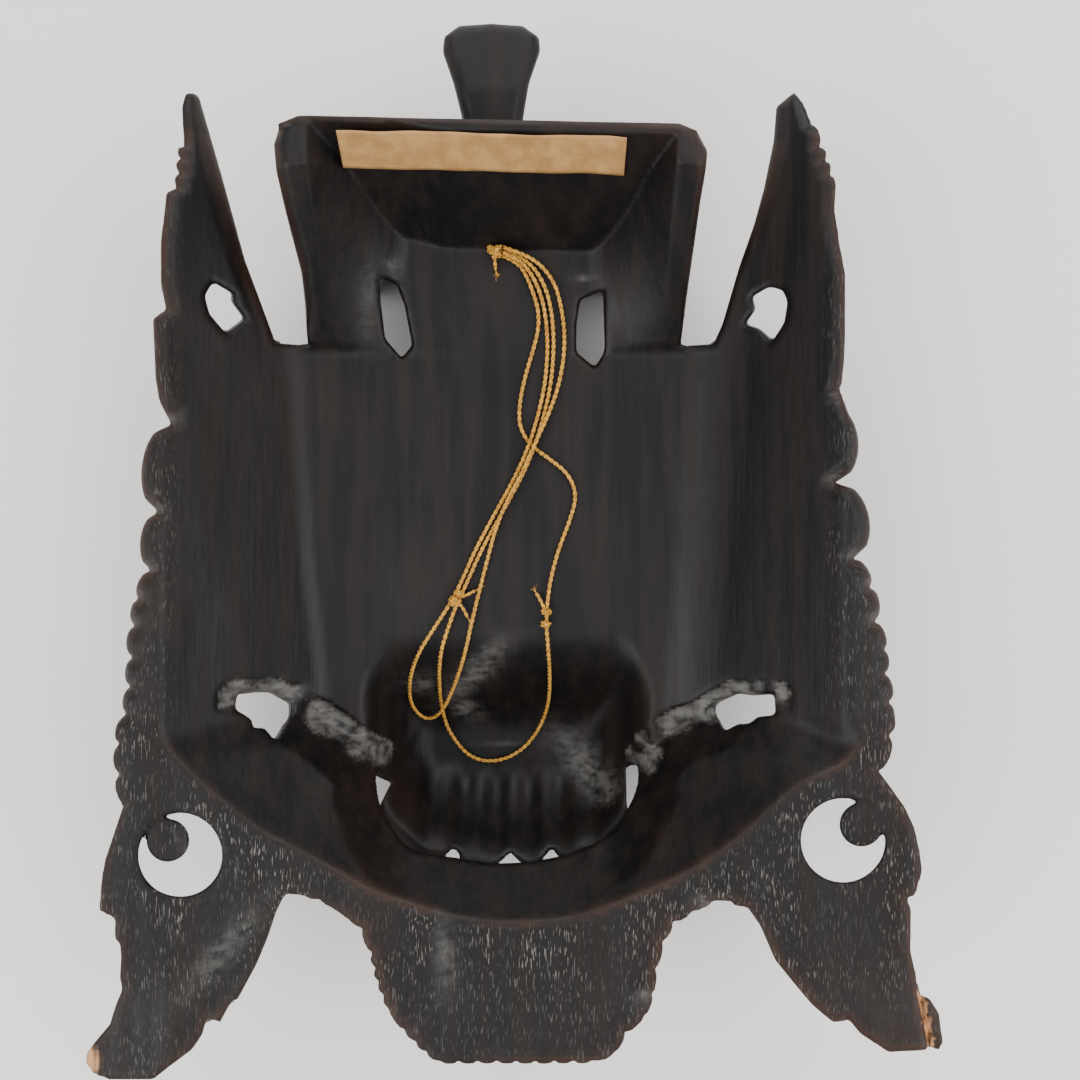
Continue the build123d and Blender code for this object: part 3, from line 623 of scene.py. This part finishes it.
def section_numbers(jaw, upper, knob, field):
    """Which section each inside point belongs to: 0 outside, else 1 and up in the order of SECTIONS."""
    number = {name: index + 1 for index, name in enumerate(SECTIONS)}
    above = np.full(X.shape, number["face_plate"], np.uint8)
    above[(Y < FLOOR_LOW_Y) & (X > -67) & (X < 57)] = number["snout"]
    above[(X < LEFT_FOLD_X) & (Y <= SIDE_TOP_Y)] = number["left_side"]
    above[(X > RIGHT_FOLD_X) & (Y <= SIDE_TOP_Y)] = number["right_side"]
    above[(X < LEFT_FOLD_X) & (Y > SIDE_TOP_Y)] = number["left_ear"]
    above[(X > 74) & (Y > SIDE_TOP_Y)] = number["right_ear"]
    above[(CROWN_EDGE < 2.0) & (Y > CROWN_LOW_Y) & (X > -95) & (X < 77)] = number["crown"]
    below = np.full(X.shape, number["lower_jaw"], np.uint8)
    beyond = polygon_distance(jaw_outline()) > 0
    below[beyond & (X < -60)] = number["left_scroll"]
    below[beyond & (X > 60)] = number["right_scroll"]
    below[beyond & (Y < -138) & (np.abs(X) < 79)] = number["beard"]
    below[(Y < -173) & (X > 155) & (line_distance(CRACK) < 0)] = number["mended_tip"]
    below[(Y > JAW_SPLIT_Y) & (X < 0)] = number["left_side"]
    below[(Y > JAW_SPLIT_Y) & (X > 0)] = number["right_side"]
    under_jaw = ((INNER_EDGE > 0) & (Y < -60)) | (Y < -148)
    chosen = np.broadcast_to(np.where(under_jaw, below, above)[:, :, None], field.shape)
    on_knob = (knob < np.minimum(upper, jaw)) & (Y > FINIAL_LOW_Y)[:, :, None]
    chosen = np.where(on_knob, np.uint8(number["crown_finial"]), chosen)
    bridge = (np.abs(X - FACE_MID_X) < 18) & (Y > FLOOR_LOW_Y) & (Y < 62)
    chosen = np.where(bridge[:, :, None] & (Z < NOSE_BACK_Z), np.uint8(number["nose"]), chosen)
    return np.where(field < 0, chosen, 0).astype(np.uint8)


# ---- surface of a field
def surface_cells(field, labels):
    """One vertex for each cell that the surface or a seam passes through."""
    shape = tuple(n - 1 for n in labels.shape)
    corners = [(i, j, k) for i in (0, 1) for j in (0, 1) for k in (0, 1)]
    view = lambda a, c: a[c[0]:c[0] + shape[0], c[1]:c[1] + shape[1], c[2]:c[2] + shape[2]]
    lowest = view(labels, corners[0]).copy()
    highest = lowest.copy()
    for c in corners[1:]:
        np.minimum(lowest, view(labels, c), out=lowest)
        np.maximum(highest, view(labels, c), out=highest)
    cells = np.argwhere(lowest != highest)
    index = np.full(shape, -1, np.int32)
    index[tuple(cells.T)] = np.arange(len(cells))
    values = np.stack([field[tuple((cells + c).T)] for c in corners], axis=1)
    marks = np.stack([labels[tuple((cells + c).T)] for c in corners], axis=1)
    total = np.zeros((len(cells), 3), np.float32)
    count = np.zeros(len(cells), np.float32)
    seam_total, seam_count = total.copy(), count.copy()
    for a in range(8):
        for b in range(a + 1, 8):
            step = np.subtract(corners[b], corners[a])
            if np.abs(step).sum() != 1:
                continue
            fa, fb = values[:, a], values[:, b]
            crossing = (fa < 0) != (fb < 0)
            t = np.where(crossing, fa / np.where(crossing, fa - fb, 1), 0.5)
            point = np.array(corners[a], np.float32) + t[:, None] * step
            total += point * crossing[:, None]
            count += crossing
            seam = (marks[:, a] != marks[:, b]) & ~crossing
            seam_total += (np.array(corners[a]) + 0.5 * step) * seam[:, None]
            seam_count += seam
    on_surface = count > 0
    inside = np.where(on_surface[:, None], total / np.maximum(count, 1)[:, None],
                      seam_total / np.maximum(seam_count, 1)[:, None])
    return index, cells + inside, on_surface


def surface_quads(labels, index, on_surface):
    """Quads around each grid edge whose ends differ, as (corner indices, section behind, section in front).

    Each starts at a corner below the surface where it has one, so its diagonal stays in the wood."""
    found = []
    for axis in range(3):
        order = (axis, (axis + 1) % 3, (axis + 2) % 3)
        grid = labels.transpose(order)
        cell = index.transpose(order)
        low, high = grid[:-1, 1:-1, 1:-1], grid[1:, 1:-1, 1:-1]
        at = np.argwhere(low != high)
        a, b, c = at.T
        ring = [cell[a, b, c], cell[a, b + 1, c], cell[a, b + 1, c + 1], cell[a, b, c + 1]]
        ring = np.stack(ring, axis=1)
        start = np.argmin(on_surface[ring], axis=1)
        ring = np.take_along_axis(ring, (start[:, None] + np.arange(4)) % 4, axis=1)
        found.append((ring, low[tuple(at.T)], high[tuple(at.T)]))
    return found


def smooth_normals(points, quads_list):
    """Area-weighted vertex normals over the outer surface of all sections together."""
    normals = np.zeros((len(points), 3), np.float64)
    for ring, low, high in quads_list:
        outer = (low == 0) | (high == 0)
        ring, sign = ring[outer], np.where(low[outer] > 0, 1.0, -1.0)
        p = points[ring]
        n = np.cross(p[:, 2] - p[:, 0], p[:, 3] - p[:, 1]) * sign[:, None]
        for corner in range(4):
            np.add.at(normals, ring[:, corner], n)
    return normals / np.maximum(np.linalg.norm(normals, axis=1), 1e-9)[:, None]


def mesh_from(name, verts, faces, smooth=True):
    """A mesh object from arrays of vertices in metres and quads, all or some of them shaded smooth."""
    mesh = bpy.data.meshes.new(name)
    mesh.vertices.add(len(verts))
    mesh.vertices.foreach_set("co", np.asarray(verts, np.float32).ravel())
    mesh.loops.add(faces.size)
    mesh.loops.foreach_set("vertex_index", faces.ravel().astype(np.int32))
    mesh.polygons.add(len(faces))
    mesh.polygons.foreach_set("loop_start", np.arange(0, faces.size, 4, dtype=np.int32))
    mesh.polygons.foreach_set("use_smooth", np.broadcast_to(smooth, len(faces)).copy())
    mesh.update(calc_edges=True)
    mesh.validate()
    piece = bpy.data.objects.new(name, mesh)
    bpy.context.scene.collection.objects.link(piece)
    return piece


def stand_for(piece, node, material):
    """Give a piece its material, and let it ride on the mask in place of a CAD node."""
    piece.data.materials.append(material)
    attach(piece, "root")
    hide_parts(node)


def carved_pieces(material):
    """One mesh for each section of the carved field."""
    field, labels, height, marks = carve()
    index, points, on_surface = surface_cells(field, labels)
    quads = surface_quads(labels, index, on_surface)
    place = np.array([Plan.xs[0], Plan.ys[0], Plan.zs[0]]) + points * STEP
    normals = smooth_normals(place, quads)
    column = tuple(np.round(points[:, :2]).astype(int).T)
    at_back = fade(place[:, 2] - height[column], -9, -3)[:, None]
    shares = marks[column] * np.concatenate([at_back, np.maximum(at_back, 0.45), at_back, at_back], axis=1)
    for number, section in enumerate(SECTIONS, start=1):
        faces, outer = [], []
        for ring, low, high in quads:
            faces += [ring[low == number], ring[high == number][:, [0, 3, 2, 1]]]
            outer += [high[low == number] == 0, low[high == number] == 0]
        faces = np.concatenate(faces)
        used, compact = np.unique(faces, return_inverse=True)
        compact = compact.reshape(faces.shape)
        piece = mesh_from("carved_" + section, place[used] * MM, compact, np.concatenate(outer))
        piece.data.normals_split_custom_set_from_vertices(normals[used].astype(np.float32))
        layer = piece.data.color_attributes.new("marks", "FLOAT_COLOR", "POINT")
        layer.data.foreach_set("color", shares[used].astype(np.float32).ravel())
        stand_for(piece, section, material)


# ---- hanging cords
LOOP_A = [ (-5.6, 123.4, 70.5), (2.2, 121.2, 69.6), (10.3, 116.9, 67.4), (16.3, 109.3, 65.3),
    (18.9, 99.6, 63.8), (20.4, 89.0, 62.3), (20.0, 77.6, 60.6), (17.4, 65.0, 60.6), (13.0, 53.2, 61.0),
    (7.2, 40.8, 62.2), (1.9, 28.9, 59.9), (-4.4, 17.6, 58.5), (-9.4, 5.4, 57.8), (-13.2, -8.6, 55.0),
    (-17.0, -23.5, 54.4), (-20.2, -36.6, 54.6), (-22.6, -48.0, 54.2), (-26.6, -59.8, 42.6),
    (-31.4, -71.4, 33.2), (-36.2, -79.6, 25.0), (-41.8, -83.2, 18.6), (-47.0, -80.8, 19.0),
    (-49.8, -74.0, 26.4), (-49.2, -64.8, 36.0), (-46.6, -56.0, 45.4), (-42.3, -47.2, 54.2),
    (-37.6, -40.0, 54.4), (-32.4, -32.0, 54.6), (-27.3, -24.0, 55.7), (-23.3, -15.4, 54.8),
    (-18.7, -4.7, 55.1), (-12.9, 6.2, 55.6), (-6.0, 18.6, 56.1), (0.1, 29.8, 57.8), (5.3, 41.5, 60.2),
    (9.1, 54.4, 58.9), (11.9, 67.0, 59.8), (13.0, 79.2, 60.8), (12.9, 88.4, 62.1), (12.0, 97.6, 63.5),
    (9.7, 106.2, 65.0), (5.9, 113.6, 67.4), (0.5, 119.0, 69.4), (-5.8, 121.2, 70.1)]
LOOP_B = [ (-6.0, 120.6, 67.6), (0.2, 118.2, 66.9), (4.2, 112.6, 65.8), (7.0, 105.4, 64.6),
    (9.2, 98.2, 63.5), (9.2, 90.3, 62.3), (6.6, 81.0, 60.9), (3.2, 70.0, 59.9), (0.8, 58.4, 59.0),
    (1.0, 48.6, 58.3), (6.1, 41.0, 57.8), (14.0, 35.4, 57.4), (21.9, 29.3, 57.0), (25.8, 20.3, 56.3),
    (23.0, 9.5, 55.7), (18.0, -2.9, 55.2), (14.0, -17.6, 54.8), (12.3, -33.6, 54.9), (13.4, -47.4, 54.2),
    (14.2, -60.0, 42.2), (14.0, -72.6, 29.4), (11.0, -85.0, 17.2), (3.3, -96.9, 15.3),
    (-8.9, -103.6, 15.3), (-22.4, -102.4, 15.3), (-32.2, -91.0, 15.3), (-35.4, -80.4, 19.6),
    (-35.8, -69.0, 31.6), (-35.0, -57.5, 44.2), (-33.2, -47.2, 54.2), (-30.6, -39.2, 54.5),
    (-28.2, -32.2, 54.8), (-25.3, -25.0, 55.7), (-21.2, -16.6, 54.8), (-16.6, -5.8, 55.1),
    (-10.7, 5.0, 55.6), (-3.8, 17.4, 56.1), (2.3, 28.6, 57.8), (7.5, 40.5, 60.2), (11.5, 53.6, 58.9),
    (14.4, 66.8, 59.8), (15.6, 79.4, 60.9), (15.6, 89.2, 62.3), (14.6, 98.8, 63.7), (12.3, 107.4, 65.2),
    (8.0, 115.0, 66.6), (1.8, 120.2, 67.5), (-5.4, 122.4, 68.5)]


def route_line(route):
    """Points in metres along the smooth line that a route's points control."""
    curve = bpy.data.curves.new("route", "CURVE")
    curve.dimensions = "3D"
    curve.resolution_u = 16
    spline = curve.splines.new("NURBS")
    spline.points.add(len(route) - 1)
    for point, (x, y, z) in zip(spline.points, route):
        point.co = (x * MM, y * MM, z * MM, 1)
    spline.order_u = 3
    spline.use_endpoint_u = True
    holder = bpy.data.objects.new("route", curve)
    bpy.context.scene.collection.objects.link(holder)
    bpy.context.view_layer.update()
    mesh = bpy.data.meshes.new_from_object(holder.evaluated_get(bpy.context.evaluated_depsgraph_get()))
    line = np.array([v.co for v in mesh.vertices])
    bpy.data.objects.remove(holder)
    return line


def lengths_along(line):
    """How far along a line each of its points is."""
    return np.concatenate([[0], np.cumsum(np.linalg.norm(np.diff(line, axis=0), axis=1))])


def even_steps(line, step):
    """The same line with points an even step apart, and its length."""
    lengths = lengths_along(line)
    count = max(2, round(lengths[-1] / step) + 1)
    at = np.linspace(0, lengths[-1], count)
    return np.stack([np.interp(at, lengths, line[:, k]) for k in range(3)], axis=1), lengths[-1]


def side_frames(line):
    """Tangent and two side directions along a line, turning as little as possible."""
    tangent = np.gradient(line, axis=0)
    tangent /= np.linalg.norm(tangent, axis=1)[:, None]
    side = np.zeros_like(line)
    side[0] = np.cross(tangent[0], (0, 0, 1))
    side[0] /= np.linalg.norm(side[0])
    for i in range(1, len(line)):
        s = side[i - 1] - tangent[i] * np.dot(side[i - 1], tangent[i])
        side[i] = s / np.linalg.norm(s)
    return tangent, side, np.cross(tangent, side)


def twisted_mesh(line, diameter, plies=2, sides=8, taper=0.0):
    """Vertices and quads of a twisted cord: plies wound round the line, closed at both ends."""
    _, side, up = side_frames(line)
    lengths = lengths_along(line)
    ply_r = diameter * 0.29
    centre_r = diameter * 0.21
    verts, faces = [], []
    for ply in range(plies):
        turn = 2 * math.pi * (lengths / TWIST_PITCH + ply / plies)
        centre = line + centre_r * (np.cos(turn)[:, None] * side + np.sin(turn)[:, None] * up)
        _, s, u = side_frames(centre)
        ring = np.linspace(0, 2 * math.pi, sides, endpoint=False)
        r = np.full(len(line), ply_r)
        if taper:
            r = r * (1 - taper * (lengths / lengths[-1]) ** 2)
        block = (centre[:, None, :] + r[:, None, None] * (np.cos(ring)[None, :, None] * s[:, None, :]
                                                          + np.sin(ring)[None, :, None] * u[:, None, :]))
        start = sum(len(v) for v in verts)
        verts.append(block.reshape(-1, 3))
        n = len(line)
        i, j = np.meshgrid(np.arange(n - 1), np.arange(sides), indexing="ij")
        a = start + i * sides + j
        b = start + i * sides + (j + 1) % sides
        faces.append(np.stack([a, b, b + sides, a + sides], axis=-1).reshape(-1, 4))
        half = sides // 2
        for base, flip in ((start, True), (start + (n - 1) * sides, False)):
            k = np.arange(half - 1)
            cap = base + np.stack([k, k + 1, sides - 2 - k, sides - 1 - k], axis=1)
            faces.append(cap[:, ::-1] if flip else cap)
    return np.concatenate(verts), np.concatenate(faces)


def cord_piece(name, route, node, material):
    """A twisted hanging cord along its route."""
    line, length = even_steps(route_line(route), 0.0005)
    verts, faces = twisted_mesh(line, CORD_D * MM)
    piece = mesh_from(name, verts, faces)
    stand_for(piece, node, material)


# ---- knots and their frayed ends
def smooth_line(points, step=0.00025):
    """A smooth open line in metres through points in millimetres."""
    p = np.array(points, float)
    p = np.concatenate([[2 * p[0] - p[1]], p, [2 * p[-1] - p[-2]]])
    out = []
    for i in range(1, len(p) - 2):
        for t in np.linspace(0, 1, 12, endpoint=False):
            out.append(between(p[i - 1], p[i], p[i + 1], p[i + 2], t))
    out.append(p[-2])
    return even_steps(np.array(out) * MM, step)[0]


def wraps(middle, axis, turns, radius, length, start=0.0):
    """Points of a strand wound round an axis and then led back across its own turns."""
    axis = Vector(axis).normalized()
    side = axis.cross(Vector((0, 0, 1))).normalized()
    up = axis.cross(side)
    out = []
    count = int(turns * 10)
    for i in range(count + 1):
        angle = start + 2 * math.pi * i / 10
        reach = axis * (length * (i / count - 0.5))
        point = Vector(middle) + reach + side * (radius * math.cos(angle))
        out.append(tuple(point + up * (radius * math.sin(angle))))
    high = Vector(middle) - up * 0.2 + Vector((0, 0, radius + 1.0))
    out.append(tuple(high))
    out.append(tuple(Vector(middle) - axis * (length * 0.75) + Vector((0, 0, 0.4))))
    return out


def frayed(points, seed, hairs=7, reach=3.6):
    """Lines of a short tail whose end opens into loose fibres."""
    rng = np.random.default_rng(seed)
    tail = smooth_line(points)
    way = tail[-1] - tail[-6]
    way /= np.linalg.norm(way)
    lines = []
    for _ in range(hairs):
        spread = rng.normal(0, 0.38, 3) * (1, 1, 0.45)
        tip = tail[-1] + (way + spread) * reach * rng.uniform(0.6, 1.1) * MM
        bend = tail[-1] + (way + 0.3 * spread) * reach * 0.45 * MM
        root = tail[-1] - way * 1.2 * MM
        lines.append(smooth_line([root / MM, bend / MM, tip / MM], 0.0004))
    return tail, lines


def knot_piece(name, node, turns_list, tails, material):
    """One knot: its wound strands and its frayed tails, as one mesh."""
    verts, faces = [], []

    def add(block):
        start = sum(len(v) for v in verts)
        verts.append(block[0])
        faces.append(block[1] + start)

    for points in turns_list:
        add(twisted_mesh(smooth_line(points), 1.75 * MM))
    for seed, points in enumerate(tails):
        tail, hairs = frayed(points, 70 + seed)
        add(twisted_mesh(tail, 1.5 * MM))
        for hair in hairs:
            add(twisted_mesh(hair, 0.42 * MM, plies=1, sides=6, taper=0.6))
    piece = mesh_from(name, np.concatenate(verts), np.concatenate(faces))
    stand_for(piece, node, material)
    return piece


# ---- paper strip
def paper_strip(material):
    """The blank strip of paper on the slanted wall, a little wavy, its ends lifting."""
    across = Vector((1, -0.025, 0)).normalized()
    foot_y, foot_z = 123.5, 66
    top_y, top_z = 155.7, LIP_Z + 1
    up_slope = Vector((0, top_y - foot_y, top_z - foot_z)).normalized()
    outward = across.cross(up_slope).normalized()
    middle = Vector((-12.3, top_y, top_z)) - up_slope * 11.0
    columns, rows = 111, 13
    u, v = np.meshgrid(np.linspace(-55, 55, columns), np.linspace(-9, 9, rows), indexing="ij")
    lift = 0.35 + 0.18 * np.sin(u / 7.5 + 0.4 * np.sin(v / 4)) + 0.12 * np.sin(u / 3.1 + v / 6)
    lift = lift + 0.35 * fade(np.abs(u), 49, 55) + 0.25 * fade(v, 4, 9) * np.sin(u / 11)
    v = v + 0.12 * np.sin(u / 5.3) * fade(np.abs(v), 8, 9)
    base = np.array(middle)[None, None, :] + u[..., None] * np.array(across)
    base = base + v[..., None] * np.array(up_slope)
    sheets = [base + (lift[..., None] + gap) * np.array(outward) for gap in (0.16, 0.0)]
    verts = np.concatenate([sheet.reshape(-1, 3) for sheet in sheets]) * MM
    i, j = np.meshgrid(np.arange(columns - 1), np.arange(rows - 1), indexing="ij")
    a = (i * rows + j).ravel()
    top = np.stack([a, a + rows, a + rows + 1, a + 1], axis=1)
    under = top[:, ::-1] + columns * rows
    number = np.arange(columns * rows).reshape(columns, rows)
    border = np.concatenate([number[:, 0], number[-1, 1:], number[-2::-1, -1], number[0, -2:0:-1]])
    follow = np.roll(border, -1)
    sides = np.stack([follow, border, border + columns * rows, follow + columns * rows], axis=1)
    piece = mesh_from("paper_strip", verts, np.concatenate([top, under, sides]))
    stand_for(piece, "paper_label", material)


# ---- materials
# colours as linear red, green and blue
BLACK_STAIN = (0.0036, 0.0030, 0.0030, 1)
BROWN_STAIN = (0.0105, 0.0058, 0.0042, 1)
BLOTCH = (0.0130, 0.0072, 0.0056, 1)
GREY_FIBRE = (0.030, 0.023, 0.019, 1)
WORN_EDGE = (0.050, 0.021, 0.011, 1)
SAWN_FLECK = (0.150, 0.135, 0.120, 1)
# light grey for dust and scuffs, also used for painted highlights
SCUFF_AND_HIGHLIGHT = (0.150, 0.143, 0.132, 1)
BARE_WOOD = (0.50, 0.25, 0.11, 1)
DARK_YARN = (0.33, 0.135, 0.012, 1)
GOLD_YARN = (0.70, 0.37, 0.040, 1)
SOILED_YARN = (0.30, 0.12, 0.015, 1)
PAPER_DARK = (0.36, 0.185, 0.058, 1)
PAPER_LIGHT = (0.47, 0.26, 0.088, 1)
PAPER_FIBRE = (0.28, 0.14, 0.045, 1)
SHINY, DULL = 0.42, 0.56     # roughness of the lacquer where it shines most and least


class Look:
    """A node material with a principled shader, and short ways to add nodes to it."""

    def __init__(self, name):
        self.material = bpy.data.materials.new(name)
        self.material.use_nodes = True
        self.tree = self.material.node_tree
        self.shader = self.tree.nodes["Principled BSDF"]
        self.place = self.tree.nodes.new("ShaderNodeTexCoord").outputs["Object"]

    def join(self, value, socket):
        """Put a number, a colour or another node's output into a socket."""
        if isinstance(value, bpy.types.NodeSocket):
            self.tree.links.new(value, socket)
        else:
            socket.default_value = value

    def noise(self, scale, detail=3.0, rough=0.55):
        """Noise from 0 to 1, its scale given for each direction in features per metre."""
        stretch = self.tree.nodes.new("ShaderNodeMapping")
        stretch.inputs["Scale"].default_value = scale
        self.join(self.place, stretch.inputs["Vector"])
        node = self.tree.nodes.new("ShaderNodeTexNoise")
        self.join(stretch.outputs["Vector"], node.inputs["Vector"])
        node.inputs["Scale"].default_value = 1.0
        node.inputs["Detail"].default_value = detail
        node.inputs["Roughness"].default_value = rough
        return node.outputs["Fac"]

    def math(self, kind, a, b):
        node = self.tree.nodes.new("ShaderNodeMath")
        node.operation = kind
        self.join(a, node.inputs[0])
        self.join(b, node.inputs[1])
        return node.outputs[0]

    def steps(self, value, low, high, to_low=0.0, to_high=1.0):
        """Value taken from the range low to high into the range to_low to to_high."""
        node = self.tree.nodes.new("ShaderNodeMapRange")
        node.interpolation_type = "SMOOTHSTEP"
        for name, number in (("From Min", low), ("From Max", high), ("To Min", to_low), ("To Max", to_high)):
            node.inputs[name].default_value = number
        self.join(value, node.inputs["Value"])
        return node.outputs["Result"]

    def mix(self, share, a, b):
        """Colour a where share is 0 and b where it is 1."""
        node = self.tree.nodes.new("ShaderNodeMix")
        node.data_type = "RGBA"
        self.join(share, node.inputs["Factor"])
        self.join(a, node.inputs[6])
        self.join(b, node.inputs[7])
        return node.outputs[2]

    def bump(self, height, distance, strength=1.0, under=None):
        node = self.tree.nodes.new("ShaderNodeBump")
        node.inputs["Distance"].default_value = distance
        node.inputs["Strength"].default_value = strength
        self.join(height, node.inputs["Height"])
        if under is not None:
            self.join(under, node.inputs["Normal"])
        return node.outputs["Normal"]


def wood_material():
    """Wood stained almost black and lacquered, sawn and worn in places, with lighter matt patches that are
    partly dust and scuffs and partly painted highlights.
    """
    look = Look("dark_wood")
    marks = look.tree.nodes.new("ShaderNodeAttribute")
    marks.attribute_name = "marks"
    split = look.tree.nodes.new("ShaderNodeSeparateColor")
    look.join(marks.outputs["Color"], split.inputs["Color"])
    sawn, worn, bare = split.outputs["Red"], split.outputs["Green"], split.outputs["Blue"]
    dust_and_highlight = marks.outputs["Alpha"]
    blotch = look.noise((24, 14, 24), 4)
    fibre = look.noise((620, 34, 260), 3)
    streak = look.noise((150, 11, 90), 4)
    fleck = look.noise((2100, 230, 1500), 1)
    grit = look.noise((1500, 1500, 1500), 2)
    cluster = look.noise((60, 34, 60), 2)
    stain = look.mix(look.steps(streak, 0.40, 0.74), BLACK_STAIN, BROWN_STAIN)
    stain = look.mix(look.steps(blotch, 0.48, 0.78), stain, BLOTCH)
    stain = look.mix(look.steps(fibre, 0.62, 0.80, 0, 0.25), stain, GREY_FIBRE)
    edge = look.math("MULTIPLY", worn, look.steps(blotch, 0.30, 0.62, 0.15, 0.8))
    stain = look.mix(edge, stain, WORN_EDGE)
    light = look.math("MULTIPLY", sawn, look.steps(fleck, 0.60, 0.68, 0, 0.8))
    light = look.math("MULTIPLY", light, look.steps(cluster, 0.38, 0.62, 0.2, 1))
    stain = look.mix(light, stain, SAWN_FLECK)
    stain = look.mix(look.steps(grit, 0.73, 0.80, 0, 0.35), stain, SAWN_FLECK)
    # lighter matt grey where the marks' alpha is set: partly dust and scuffs, partly painted highlights
    scuff_and_highlight = look.math("MULTIPLY", dust_and_highlight, look.steps(look.noise((170, 300, 170), 4), 0.28, 0.68, 0.1, 0.8))
    stain = look.mix(scuff_and_highlight, stain, SCUFF_AND_HIGHLIGHT)
    shown = look.math("MULTIPLY", look.steps(bare, 0.15, 0.7), look.steps(fibre, 0.30, 0.52))
    stain = look.mix(shown, stain, BARE_WOOD)
    look.join(stain, look.shader.inputs["Base Color"])
    rough = look.steps(streak, 0.3, 0.7, SHINY, DULL)
    rough = look.math("ADD", rough, look.math("MULTIPLY", sawn, 0.16))
    rough = look.math("ADD", rough, look.math("MULTIPLY", scuff_and_highlight, 0.15))
    look.join(rough, look.shader.inputs["Roughness"])
    look.shader.inputs["Specular IOR Level"].default_value = 0.26
    grain = look.bump(look.math("ADD", fibre, look.math("MULTIPLY", fleck, sawn)), 0.0004, 0.3)
    look.join(look.bump(blotch, 0.003, 0.4, grain), look.shader.inputs["Normal"])
    return look.material


def cord_material():
    """Golden yellow yarn with darker fibres."""
    look = Look("gold_cord")
    fibre = look.noise((900, 900, 900), 3)
    patch = look.noise((70, 70, 70), 2)
    yarn = look.mix(look.steps(fibre, 0.35, 0.65), DARK_YARN, GOLD_YARN)
    yarn = look.mix(look.steps(patch, 0.52, 0.78, 0, 0.45), yarn, SOILED_YARN)
    look.join(yarn, look.shader.inputs["Base Color"])
    look.shader.inputs["Roughness"].default_value = 0.72
    look.join(look.bump(fibre, 0.0003, 0.7), look.shader.inputs["Normal"])
    return look.material


def paper_material():
    """Tan wrapping paper with a faint mottle."""
    look = Look("kraft_paper")
    mottle = look.noise((160, 160, 160), 4)
    fibre = look.noise((1800, 500, 500), 2)
    tan = look.mix(look.steps(mottle, 0.35, 0.7), PAPER_DARK, PAPER_LIGHT)
    tan = look.mix(look.steps(fibre, 0.62, 0.75, 0, 0.3), tan, PAPER_FIBRE)
    look.join(tan, look.shader.inputs["Base Color"])
    look.shader.inputs["Roughness"].default_value = 0.62
    look.join(look.bump(mottle, 0.0006, 0.5), look.shader.inputs["Normal"])
    return look.material


# ---- floor, light and camera
def build_stage():
    """A plain pale floor and soft studio light."""
    corners = np.array([(-3, -3, 0), (3, -3, 0), (3, 3, 0), (-3, 3, 0)])
    floor = mesh_from("floor", corners, np.array([[0, 1, 2, 3]]))
    look = Look("pale_floor")
    look.shader.inputs["Base Color"].default_value = (0.83, 0.80, 0.765, 1)
    look.shader.inputs["Roughness"].default_value = 0.6
    floor.data.materials.append(look.material)
    add_light("key", (-1.3, -0.8, 1.5), 2.0, 54)
    add_light("right", (1.4, -0.35, 1.4), 2.0, 46)
    add_light("back", (0.1, 1.7, 1.4), 2.0, 46)
    world = bpy.data.worlds.new("studio")
    world.use_nodes = True
    world.node_tree.nodes["Background"].inputs["Color"].default_value = (0.9, 0.93, 1.0, 1)
    world.node_tree.nodes["Background"].inputs["Strength"].default_value = 0.5
    bpy.context.scene.world = world


def add_light(name, place, size, power):
    """A square area light that looks at the mask."""
    data = bpy.data.lights.new(name, "AREA")
    data.size = size
    data.energy = power
    light = bpy.data.objects.new(name, data)
    light.location = place
    light.rotation_euler = (Vector((0, 0, 0.06)) - Vector(place)).to_track_quat("-Z", "Y").to_euler()
    bpy.context.scene.collection.objects.link(light)


def build_camera():
    """The camera straight above the mask, about 0.43 m over its rim."""
    data = bpy.data.cameras.new("camera")
    camera = bpy.data.objects.new("camera", data)
    height, width = 0.430, 0.4136
    camera.location = (0.0098, 0.0005, 0.112 + height)
    data.sensor_width = 36
    data.lens = 36 * height / width
    data.clip_start = 0.01
    bpy.context.scene.collection.objects.link(camera)
    bpy.context.scene.camera = camera


wood = wood_material()
yarn = cord_material()
carved_pieces(wood)
paper_strip(paper_material())
anchor = knot_piece("anchor_loops", "anchor_knot", [
    wraps((-8.4, 121.6, 70.2), (1, 0.15, 0.1), 2.6, 2.0, 3.6),
    wraps((-10.4, 122.8, 69.2), (0.3, 1, -0.3), 1.4, 1.5, 1.6, 1.0)],
    [[(-9.4, 121.4, 70.6), (-9.3, 118.4, 68.6), (-9.0, 115.2, 66.6)]], yarn)
tie = knot_piece("tie_loops", "tie_knot", [
    wraps((-27.0, -25.8, 56.0), (0.6, 0.8, 0), 2.4, 1.9, 3.0),
    wraps((-25.0, -22.8, 56.0), (0.6, 0.8, 0), 1.6, 1.8, 1.8, 0.8)],
    [[(-25.6, -23.8, 57.0), (-22.2, -23.4, 55.8), (-18.6, -21.6, 54.8)],
     [(-26.4, -25.6, 56.6), (-23.6, -29.2, 55.2), (-21.6, -33.2, 54.6)]], yarn)
splice = knot_piece("splice_loops", "splice_knot", [
    wraps((12.6, -30.6, 55.3), (-0.1, 1, 0), 1.6, 1.6, 1.8),
    wraps((12.4, -36.0, 55.3), (0, 1, 0), 1.6, 1.6, 1.8, 0.6)],
    [[(12.2, -30.4, 56.2), (10.4, -26.4, 55.2), (8.2, -22.6, 54.9)]], yarn)
cord_piece("hanging_cord_a", LOOP_A, "cord_loop_a", yarn)
cord_piece("hanging_cord_b", LOOP_B, "cord_loop_b", yarn)
build_stage()
build_camera()
